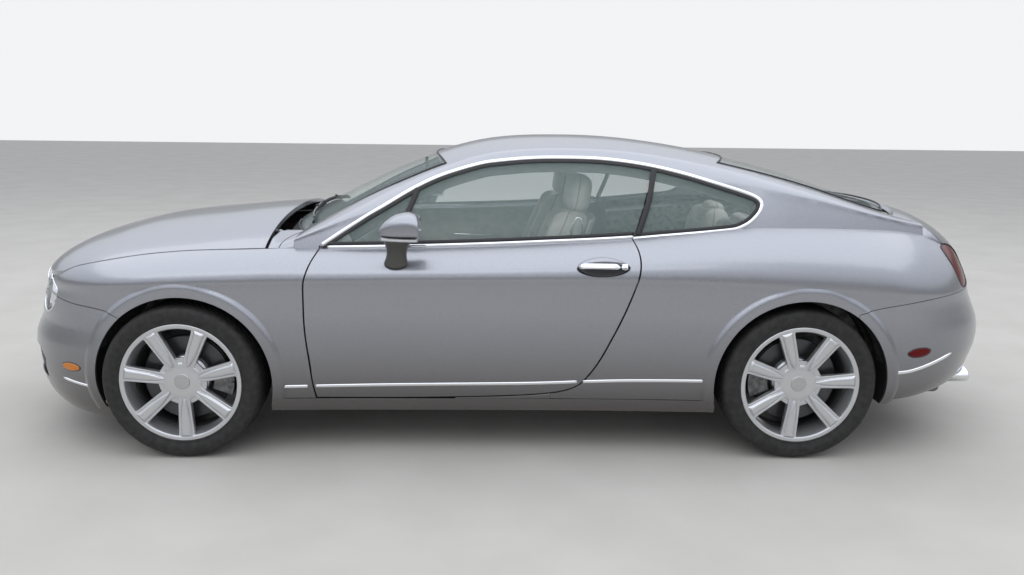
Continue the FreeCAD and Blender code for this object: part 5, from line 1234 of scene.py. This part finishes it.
# %% Console
TUNNEL = ((384, 1.0), (500, 0.985), (545, 0.95), (556, 0.88), (559, 0.7))
ARMREST = ((559, 0.98), (580, 1.0), (590, 0.96), (594, 0.8))
KNOB = ((618, 0.6), (626, 0.95), (644, 1.0), (656, 0.8), (660, 0.4))
inside_car("console_body", plan_stack(0, 0, 636, 116, TUNNEL, 9.0), dark_leather, "leather",
           replaces=["console"])
inside_car("console_armrest", plan_stack(40, 0, 220, 92, ARMREST, 6.0), leather, "leather")
lever = tube([(-250, 0, 555), (-246, 0, 600), (-240, 0, 628)], 9, 16)
inside_car("gear_selector", joined([lever, plan_stack(-238, 0, 26, 20, KNOB, 2.6, 32)]), chrome, "chrome")
print("console top at", TUNNEL[-1][0], "mm")

# %% [markdown]
# ## Door linings
# The inner face of each door is the outer one moved in by the door's thickness; the lining
# lies on it and swells into an armrest and a pocket.

# %% Door linings and pulls
LINING_FROM, LINING_TO, DOOR_THICK, LINING_THICK = -770, 480, 112, 9


def swelling(height, z, at, half, x, start, start_length, stop, stop_length):
    """A ledge along the door: flat bell over z round `at`, faded in after start and out before stop."""
    return (height * np.exp(-((z - at) / half) ** 4) * share(x, start, start_length)
            * np.clip((stop - x) / stop_length, 0, 1))


x, v = np.meshgrid(np.linspace(LINING_FROM, LINING_TO, 100), np.linspace(0, 1, 60), indexing="ij")
low_z = 310 + np.clip(x - 230, 0, 400) ** 1.18 * 0.42
z = low_z + (belt(x) - 6 - low_z) * v
inner_y = np.minimum(side_y(x, z), side_y(x, np.minimum(z, 880))) - DOOR_THICK
armrest = swelling(44, z, 640, 46, x, -560, 120, 420, 140)
pocket = swelling(16, z, 430, 70, x, -650, 120, 300, 120)
stitched = 3.0 * np.exp(-((z - 735) / 4) ** 2)
to_end = np.minimum(x - LINING_FROM, LINING_TO - x) / 40
edge = np.clip(np.minimum(np.minimum(v, 1 - v) * 14, to_end), 0, 1) ** 0.5
face = np.stack([x, -(inner_y - (LINING_THICK + armrest + pocket - stitched) * edge), z], -1)
both_sides("door_lining", *shell(face, np.stack([x, -(inner_y - 0.5), z], -1)), leather, "leather", DOORS)
x = np.linspace(-330, -70, 24)
pull_y = side_y(x, 700.0) - DOOR_THICK - 30 - 20 * np.sin((x + 330) / 260 * math.pi)
both_sides("door_pull", *tube(np.stack([x, -pull_y, 0 * x + 770], -1), 8, 14), chrome, "chrome", DOORS)
print("door lining", LINING_TO - LINING_FROM, "mm long")

# %% Inside mirror
INSIDE_MIRROR_AT = np.array([-442, 0, 1216])


def oval_end(half, reach, power):
    """Half size along the mirror: `half` times (1 - |q / reach|^power)^(1/2)."""
    def at(q):
        """Half size at q along the mirror."""
        return half * (1 - np.abs(q / reach) ** power) ** 0.5
    return at


housing = oval_sections(np.linspace(-1, 1, 30) * 120, oval_end(-34, 126, 4), oval_end(34, 126, 4),
                        oval_end(14, 124, 6), 3.0, y0=0.0)
housing = housing[..., [1, 0, 2]] + INSIDE_MIRROR_AT
inside_car("inside_mirror", closed_sections(housing), black_trim, "trim")
stalk_top = float(crest(-432.0, 0.0)) - 9
stalk = tube([(-440, 0, 1230), (-436, 0, 1262), (-432, 0, stalk_top)], 8, 14)
inside_car("inside_mirror_stalk", stalk, black_trim, "trim")
print("inside mirror at", INSIDE_MIRROR_AT)

# %% [markdown]
# ## Cowl and wipers
# Between bonnet and windscreen lies a black louvred panel. It starts behind the place that the
# bonnet's rear edge sweeps through when it opens. Two wipers rest on the glass just above it.

# %% Cowl panel
GLASS_EDGE = curve([0, 330, 612], [-1045, -1030, -955])
BONNET_PIVOT = np.array([-1080.0, 965.0])
LOUVRE_FROM, LOUVRE_HALF, LOUVRE_DROP, LOUVRE_PITCH = -1057.0, 604, 8.0, 4.2
s, y = np.meshgrid(np.linspace(0, 1, 34), np.linspace(-LOUVRE_HALF, LOUVRE_HALF, 121), indexing="ij")
x = LOUVRE_FROM + (GLASS_EDGE(np.abs(y)) + 8 - LOUVRE_FROM) * s
slats = 1.6 * np.sign(np.sin(y / LOUVRE_PITCH)) * np.exp(-((s - 0.5) / 0.28) ** 4)
louvre = np.stack([x, y, crest(x, y) - LOUVRE_DROP + slats], -1)
inside_car("cowl_louvre", shell(louvre, louvre - [0, 0, 2.5]), rubber, "trim")
print("cowl panel", 2 * LOUVRE_HALF, "mm wide")

# %% Wipers
WIPER_SPANS = ((-560, 60), (-20, 540))
BLADE_LIFT, SPINE_LIFT, PIVOT_INSET = 8, 9, 60


def on_screen(x, y, lift):
    """Points on the windscreen at (x, y), raised by lift."""
    return np.stack([x, y, crest(x, y) + lift], -1)


for k, (y0, y1) in enumerate(WIPER_SPANS):
    ys = np.linspace(y0, y1, 40)
    xs = GLASS_EDGE(np.abs(ys)) + 46 + 26 * np.sin((ys - y0) / (y1 - y0) * np.pi) ** 0.7
    blade = on_screen(xs, ys, BLADE_LIFT)
    inside_car(f"wiper_blade_{k}", tube(blade, 5.0, 8, flat=1.7), black_trim, "trim")
    spine = blade + [0, 0, SPINE_LIFT]
    inside_car(f"wiper_spine_{k}", tube(spine[3:-3], 3.4, 8), gloss_black, "trim")
    pivot_y = y1 - PIVOT_INSET
    pivot = on_screen(GLASS_EDGE(abs(pivot_y)) + 20, pivot_y, 5)
    holder = spine[20]
    arm = [pivot, pivot + [8, -20, 12], (pivot + holder) / 2 + [4, 0, 10], holder + [0, 0, 4]]
    inside_car(f"wiper_arm_{k}", tube(smooth_profile(arm, 8), 5.5, 10), black_trim, "trim")
print("wipers", len(WIPER_SPANS))

# %% [markdown]
# ## Wheel liners
# Dark liners close the wheel openings from the bumper round to the sill. They are arcs outside
# the tyre's sweep, also when it is steered.

# %% Wheel liners
LINER_R, LINER_SHIFT, LINER_OUT, LINER_THICK = 399.0, 5, 944, 3
LINERS = {"front": (460, -24, 197), "rear": (636, -15, 200)}
for end, (y_in, a0, a1) in LINERS.items():
    a, q = np.meshgrid(np.radians(np.linspace(a0, a1, 100)), np.linspace(0, 1, 12), indexing="ij")
    x = AXLE_X[end] + LINER_SHIFT + LINER_R * np.cos(a)
    z = TYRE_R + LINER_R * np.sin(a)
    y = y_in + (np.minimum(side_y(x, z) - 3, LINER_OUT) - y_in) * q
    outwards = np.stack([np.cos(a), 0 * a, np.sin(a)], -1)
    liner = np.stack([x, -y, z], -1) + outwards * (1.5 * np.sin(y / 16.0))[..., None]
    both_sides(f"wheel_liner_{end}", *shell(liner, liner + outwards * LINER_THICK), black_trim, "trim")
print("liner radius", LINER_R, "mm")

# %% [markdown]
# ## Small closing panels
# A few corners between the big panels need a painted piece of their own: the skin over the
# lower door hinge, the fillet under the door, the corners beside the cowl and beside the boot
# lid. Each is a grid between two edges that are already there, and a few millimetres thick.

# %% Skin over the lower door hinge
HINGE_LOW, HINGE_HIGH, HINGE_REAR = 384, 488, -766
u, z = np.meshgrid(np.linspace(0, 1, 24), np.linspace(HINGE_LOW, HINGE_HIGH, 24), indexing="ij")
front_edge = np.interp(z, [340, 432, 523], [-879, -888, -898])
x = front_edge + (HINGE_REAR - front_edge) * u
out = lift_from(side_y, x, z)
to_edge = np.minimum(z - HINGE_LOW, HINGE_HIGH - z) / 9.0
lie = np.clip(np.minimum(to_edge, (1 - u) * 12), 0, 1)[..., None]
skin = on_side(x, z)
both_sides("door_hinge_skin", *shell(skin + out * (1.3 * lie - 0.9), skin - out * 4.0), paint, "paint", DOORS)
print("hinge skin", HINGE_HIGH - HINGE_LOW, "mm high")

# %% Fillet between door and sill
DOOR_LOW_X, DOOR_LOW_Z = [-866, -480, -48, 85, 174, 263], [270, 269, 279, 286, 296, 317]
SHUT_GAP, FILLET_FOOT = 7.5, 262.0
x, q = np.meshgrid(np.linspace(-250, 181, 60), np.linspace(0, 1, 6), indexing="ij")
top = np.interp(x, DOOR_LOW_X, DOOR_LOW_Z) - SHUT_GAP
low = np.minimum(FILLET_FOOT, top - 1)
fillet = on_side(x, low + (top - low) * q) + [0, 0.5, 0]
both_sides("sill_fillet", *shell(fillet, fillet + [0, 6, 0]), paint, "paint")
print("fillet foot at", FILLET_FOOT, "mm")

# %% Corner between bonnet and pillar
# the open bonnet's rear edge swings back about its pivot, the more the higher it lies, so the
# corner starts a clearance behind that sweep
CORNER_REAR_X, CORNER_FRONT_X, CORNER_POWER = -961, -1076.0, 1.4
BONNET_REAR_X, SWING_PLAY, CLEARANCE, EDGE_SUNK = -1088.0, 8, 10, 2.0
PILLAR_Y = [603, 640, 720, 760, 784, 796, 806, 813]
PILLAR_Z = [984, 983, 978.5, 976, 973, 966, 946, 929]
s, y = np.meshgrid(np.linspace(0, 1, 30), np.linspace(606, 813, 36), indexing="ij")
edge_z = bonnet_z(np.full_like(y, BONNET_REAR_X), y)
swing = np.clip((edge_z - BONNET_PIVOT[1] - SWING_PLAY) * math.sqrt(0.5), -5, 60)
beside_louvre = 16 * np.clip((628 - y) / 12, 0, 1)
front_x = np.maximum(CORNER_FRONT_X, BONNET_PIVOT[0] + swing + CLEARANCE + beside_louvre)
front_z = edge_z - EDGE_SUNK - 8 * (front_x - CORNER_FRONT_X) / 36
rise_z = (np.interp(y, PILLAR_Y, PILLAR_Z) - front_z) * s ** CORNER_POWER
corner = np.stack([front_x + (CORNER_REAR_X - front_x) * s, -y, front_z + rise_z], -1)
both_sides("cowl_corner", *shell(corner, corner - [0, 0, 4]), paint, "paint")
print("cowl corner", CORNER_REAR_X - CORNER_FRONT_X, "mm long")

# %% Corner beside the boot lid
BOOT_X = [1903, 1925, 1950, 1970, 1990]
INNER_Y, INNER_Z = [630, 639, 649, 653, 656], [1034, 1022, 1004, 985, 963]
OUTER_Y, OUTER_Z = [676, 674, 671, 666, 660], [985, 980, 972, 962, 955]
x = np.linspace(BOOT_X[0], BOOT_X[-1], 20)
inner = np.stack([x, -np.interp(x, BOOT_X, INNER_Y), np.interp(x, BOOT_X, INNER_Z)], -1)
outer = np.stack([x, -np.interp(x, BOOT_X, OUTER_Y), np.interp(x, BOOT_X, OUTER_Z)], -1)
m = np.linspace(0, 1, 9)[None, :, None]
wedge = inner[:, None] * (1 - m) + outer[:, None] * m + np.array([0, -3.0, 3.0]) * np.sin(np.pi * m)
both_sides("boot_corner", *shell(wedge, wedge + [0, 3, -2]), paint, "paint")
print("boot corner", BOOT_X[-1] - BOOT_X[0], "mm long")

# %% Seam across the cowl corner
# the shut line runs over the corner's grid from one (row, column) to another, between the points
SEAM_ROWS, SEAM_COLUMNS, SEAM_SUNK, SEAM_R = (12, 28.5), (34.5, 10.5), 0.6, 2.2
row, column = (np.linspace(*ends, 60) for ends in (SEAM_ROWS, SEAM_COLUMNS))
i, j = row.astype(int), column.astype(int)
di, dj = (row - i)[:, None], (column - j)[:, None]
near = corner[i, j] * (1 - dj) + corner[i, j + 1] * dj
far = corner[i + 1, j] * (1 - dj) + corner[i + 1, j + 1] * dj
seam = near * (1 - di) + far * di - [0, 0, SEAM_SUNK]
both_sides("cowl_corner_seam", *tube(seam, SEAM_R, 8), gloss_black, "trim")
print("seam", round(float(np.linalg.norm(seam[-1] - seam[0]))), "mm long")

# %% [markdown]
# ## Inside of the roof
# A dark rail follows the window's upper line inside the glass, as nine lines each moved a
# little further aside, and a pale lining hangs 24 mm under the roof.

# %% Roof rail and lining
RAIL_NEAR, RAIL_WIDE, RAIL_INSET, RAIL_BULGE, LINING_DROP = 6, 66, 20, 12, 24
rail_line = along(WINDOW_TOP[2:] + WINDOW_END[:2], 120)
q = np.linspace(0, 1, 9)
lines = np.stack([aside(rail_line, RAIL_NEAR - RAIL_WIDE * k) for k in q], 1)
x, z = lines[..., 0], lines[..., 1]
rail = np.stack([x, RAIL_INSET + RAIL_BULGE * np.sin(math.pi * q) - window_y(x, z), z], -1)
both_sides("roof_rail", *shell(rail + [0, -3, 0], rail + [0, 4, 0]), dark_leather, "leather")
x, y = np.meshgrid(np.linspace(-330, 1000, 60), np.linspace(-500, 500, 41), indexing="ij")
lining = np.stack([x, y, crest(x, y) - LINING_DROP], -1)
inside_car("headliner", shell(lining, lining - [0, 0, 5]), leather, "leather")
print("headliner", np.ptp(x), "by", np.ptp(y), "mm")

# %% [markdown]
# ## Lamps, grilles and tips
# Each round headlamp is a bright turned bowl with a bulb, behind its clear cover. Bowls and
# rings are circles laid on the face of the car, so the same two rules place those of the front
# and of the rear.

# %% Headlamps
LAMPS = (("inner", -470.0, 672.0, 104.0), ("outer", -668.0, 690.0, 80.0))
BULB = [(0, 24), (12, 26), (20, 34), (24, 46), (25, 70), (0, 70)]
BOWL_DEPTH, BOWL_INSET, BOWL_RIM_BACK = 92, 7, 9


def circle(cy, cz, radius, n=72):
    """y and z of a circle seen from the front."""
    a = full_turn(n)
    return cy + radius * np.cos(a), cz + radius * np.sin(a)


def ring_on(face_x, cy, cz, radius, back, n=72):
    """A circle laid on the car's face x = face_x(y, z) and moved along the car by `back`."""
    y, z = circle(cy, cz, radius, n)
    return np.stack([face_x(np.abs(y), z) + back, y, z], -1)


for tag, cy, cz, r in LAMPS:
    k = np.linspace(0, 1, 15)[:, None]
    y, z = circle(cy, cz, (r - BOWL_INSET) * (1 - 0.80 * k))
    centre_x = float(nose_x(abs(cy), cz))
    rim_x = ring_on(nose_x, cy, cz, r - BOWL_INSET, BOWL_RIM_BACK)[None, :, 0]
    bowl = np.stack([rim_x + (centre_x + BOWL_DEPTH - rim_x) * k ** 0.55, y, z], -1)
    lined = np.concatenate([bowl, (bowl + [5, 0, 0])[::-1]])
    both_sides(f"headlamp_bowl_{tag}", *closed_sections(lined), chrome, "chrome")
    ring = ring_on(nose_x, cy, cz, r + 1, 1.5)
    both_sides(f"headlamp_ring_{tag}", *tube(ring, 3.6, 10, closed=True), chrome, "chrome")
    bulb = turned(BULB, (centre_x, cy, cz), 40, axis=0, ring=False)
    both_sides(f"headlamp_bulb_{tag}", *bulb, lens_clear, "lamp")
print("headlamps", 2 * len(LAMPS))

# %% [markdown]
# The lower intakes carry the same crossed mesh as the grille: two families of thin rods lean
# each way, and each rod keeps only the points that lie inside the opening's outline.

# %% Mesh of the lower intakes
MESH_LOW, MESH_PITCH, MESH_BACK, ROD_R = 300, 34.0, 18.0, 2.2
MIDDLE_INTAKE = {"top": 455, "z": (296, 460), "y": (-400, 400),
                 "outer": ([300, 400, 455], [360, 400, 330]), "inner": None}
SIDE_INTAKE = {"top": 440, "z": (296, 445), "y": (425, 735),
               "outer": ([300, 400, 440], [700, 730, 680]), "inner": ([300, 380, 440], [460, 430, 450])}


def mesh_over(name, opening, sign=0):
    """Crossed thin rods on the nose surface inside an opening. Its outline gives |y| over z; sign
    is -1 or 1 where the opening lies on one side only."""
    z0, z1 = opening["z"]
    y0, y1 = sorted((sign or 1) * y for y in opening["y"])
    rods = []
    for lean in (1, -1):
        for c in np.arange(y0 - (z1 - z0), y1 + (z1 - z0), MESH_PITCH):
            z = np.linspace(z0, z1, 40)
            y = c + lean * (z - (z0 + z1) / 2)
            off = sign * y if sign else np.abs(y)
            ok = (z > MESH_LOW) & (z < opening["top"]) & (off < np.interp(z, *opening["outer"]))
            if opening["inner"]:
                ok &= off > np.interp(z, *opening["inner"])
            if ok.sum() >= 3:
                y, z = y[ok], z[ok]
                rods.append(tube(np.stack([nose_x(np.abs(y), z) + MESH_BACK, y, z], -1), ROD_R, 6))
    inside_car(name, joined(rods), gloss_black, "trim")
    print(name, len(rods), "rods")


mesh_over("lower_mesh", MIDDLE_INTAKE)
mesh_over("side_mesh_left", SIDE_INTAKE, -1)
mesh_over("side_mesh_right", SIDE_INTAKE, 1)

# %% Exhaust tips
TIP_Y, TIP_Z = -570, 302
TIP_RINGS = ((2110, 73, 39), (2205, 73.5, 39.5), (2214, 73.5, 39.5), (2218, 72, 38), (2217, 69, 35),
             (2210, 67.6, 33.6), (2128, 67.6, 33.6), (2127, 10, 5))
x, ry, rz = (column[:, None] for column in np.array(TIP_RINGS, float).T)
a = full_turn(64)
tip = np.stack([x + 0 * a, TIP_Y + ry * np.cos(a), TIP_Z + rz * np.sin(a)], -1)
both_sides("exhaust_tip", *closed_sections(tip), chrome, "chrome")
print("exhaust tip", TIP_RINGS[3][0] - TIP_RINGS[0][0], "mm long")

# %% Tail lamps
TAIL_LAMP_EDGE = [(-500, 850), (-512, 890), (-545, 922), (-600, 942), (-670, 946), (-716, 918), (-745, 856),
                  (-753, 800), (-740, 768), (-700, 757), (-620, 760), (-550, 778), (-512, 810), (-500, 850)]
TAIL_BOWLS = ((-590, 868, 48), (-668, 850, 44), (-610, 800, 26))
BOWL_RINGS = ((1.0, 14), (0.92, 18), (0.6, 32), (0.15, 44))
y, z = along(TAIL_LAMP_EDGE, 120)[:-1].T
seal = np.stack([tail_x(np.abs(y), z) - 1.0, y, z], -1)
both_sides("tail_lamp_seal", *tube(seal, 3.0, 8, closed=True), black_trim, "trim")
for k, (cy, cz, r) in enumerate(TAIL_BOWLS):
    bowl = np.stack([ring_on(tail_x, cy, cz, r * part, -depth, 64) for part, depth in BOWL_RINGS])
    lined = np.concatenate([bowl, (bowl - [3, 0, 0])[::-1]])
    both_sides(f"tail_lamp_bowl_{k}", *closed_sections(lined), chrome, "chrome")
print("tail lamp bowls", 2 * len(TAIL_BOWLS))

# %% [markdown]
# ## Floor and light
# The world has three faces. The camera and the glass see a white backdrop. Reflections see a
# sky that is pale above and darker towards the horizon, so the sides of the car read darker
# than its top. Everything else gets an even light. Two large soft lamps add direction.

# %% Floor
FLOOR_SIZE_M, FLOOR_DROP_M = 60, 0.0005
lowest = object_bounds()[0]
bpy.ops.mesh.primitive_plane_add(size=FLOOR_SIZE_M, location=(0, 0, lowest.z - FLOOR_DROP_M))
floor_plane = bpy.context.object
floor_plane.name = "pale_floor"
floor_plane.data.materials.append(mottled("pale_floor", (0.66, 0.65, 0.63), 0.0, 0.8,
                                          tint=(2.0, 8.0, (0.64, 0.63, 0.61), (0.69, 0.68, 0.66))))
print("floor at", round(lowest.z, 4))

# %% World
world = bpy.data.worlds.new("open_sky")
bpy.context.scene.world = world
world.use_nodes = True
wt = world.node_tree


def sky_part(node_of, strength, colour=None):
    """Sets the strength and, where it is plain, the colour of a Background node."""
    node_of.inputs["Strength"].default_value = strength
    if colour:
        node_of.inputs["Color"].default_value = (*colour, 1)
    return node_of


def choose(fac, a, b):
    """Shader a where fac is 0 and shader b where it is 1."""
    n = wt.nodes.new("ShaderNodeMixShader")
    for socket, value in zip(n.inputs, (fac, a, b)):
        wt.links.new(value, socket)
    return n.outputs[0]


even = sky_part(wt.nodes["Background"], 0.55, (0.95, 0.97, 1.0))
backdrop = sky_part(wt.nodes.new("ShaderNodeBackground"), 0.95, (0.94, 0.95, 0.97))
mirrored_sky = sky_part(wt.nodes.new("ShaderNodeBackground"), 1.22)
# height of the looked-at point of the sky, its colour there
SKY_BANDS = ((0.0, (0.30, 0.29, 0.28)), (1.0, (0.86, 0.90, 1.0)), (0.02, (0.20, 0.20, 0.19)),
             (0.10, (0.22, 0.23, 0.22)), (0.16, (0.62, 0.64, 0.68)), (0.45, (0.80, 0.84, 0.92)))
split = wt.nodes.new("ShaderNodeSeparateXYZ")
wt.links.new(wt.nodes.new("ShaderNodeTexCoord").outputs["Generated"], split.inputs[0])
bands = wt.nodes.new("ShaderNodeValToRGB")
elements = bands.color_ramp.elements
for element, (place, colour) in zip(elements, SKY_BANDS[:2]):
    element.position, element.color = place, (*colour, 1)
for place, colour in SKY_BANDS[2:]:
    elements.new(place).color = (*colour, 1)
wt.links.new(split.outputs["Z"], bands.inputs["Fac"])
wt.links.new(bands.outputs["Color"], mirrored_sky.inputs["Color"])
ray = wt.nodes.new("ShaderNodeLightPath")
seen = wt.nodes.new("ShaderNodeMath")
seen.operation = "MAXIMUM"
for socket, kind in zip(seen.inputs, ("Is Camera Ray", "Is Transmission Ray")):
    wt.links.new(ray.outputs[kind], socket)
lit = choose(ray.outputs["Is Glossy Ray"], even.outputs[0], mirrored_sky.outputs[0])
sky = choose(seen.outputs[0], lit, backdrop.outputs[0])
wt.links.new(sky, wt.nodes["World Output"].inputs["Surface"])
print("sky bands", len(SKY_BANDS))


# %% Lamps
def soft_lamp(name, at, aim, size, power):
    """A rectangular area lamp at `at`, turned towards `aim`."""
    data = bpy.data.lights.new(name, "AREA")
    data.shape, data.energy = "RECTANGLE", power
    data.size, data.size_y = size
    lamp = bpy.data.objects.new(name, data)
    bpy.context.collection.objects.link(lamp)
    lamp.location = at
    lamp.rotation_euler = (Vector(aim) - Vector(at)).to_track_quat("-Z", "Y").to_euler()


soft_lamp("overhead", (0, 0.0, 7.0), (0, 0, 0), (18, 13), 500)
soft_lamp("camera_side", (-2.0, -9.0, 7.5), (0, 0, 0.4), (10, 3), 80)
print("lamps", len(bpy.data.lights))
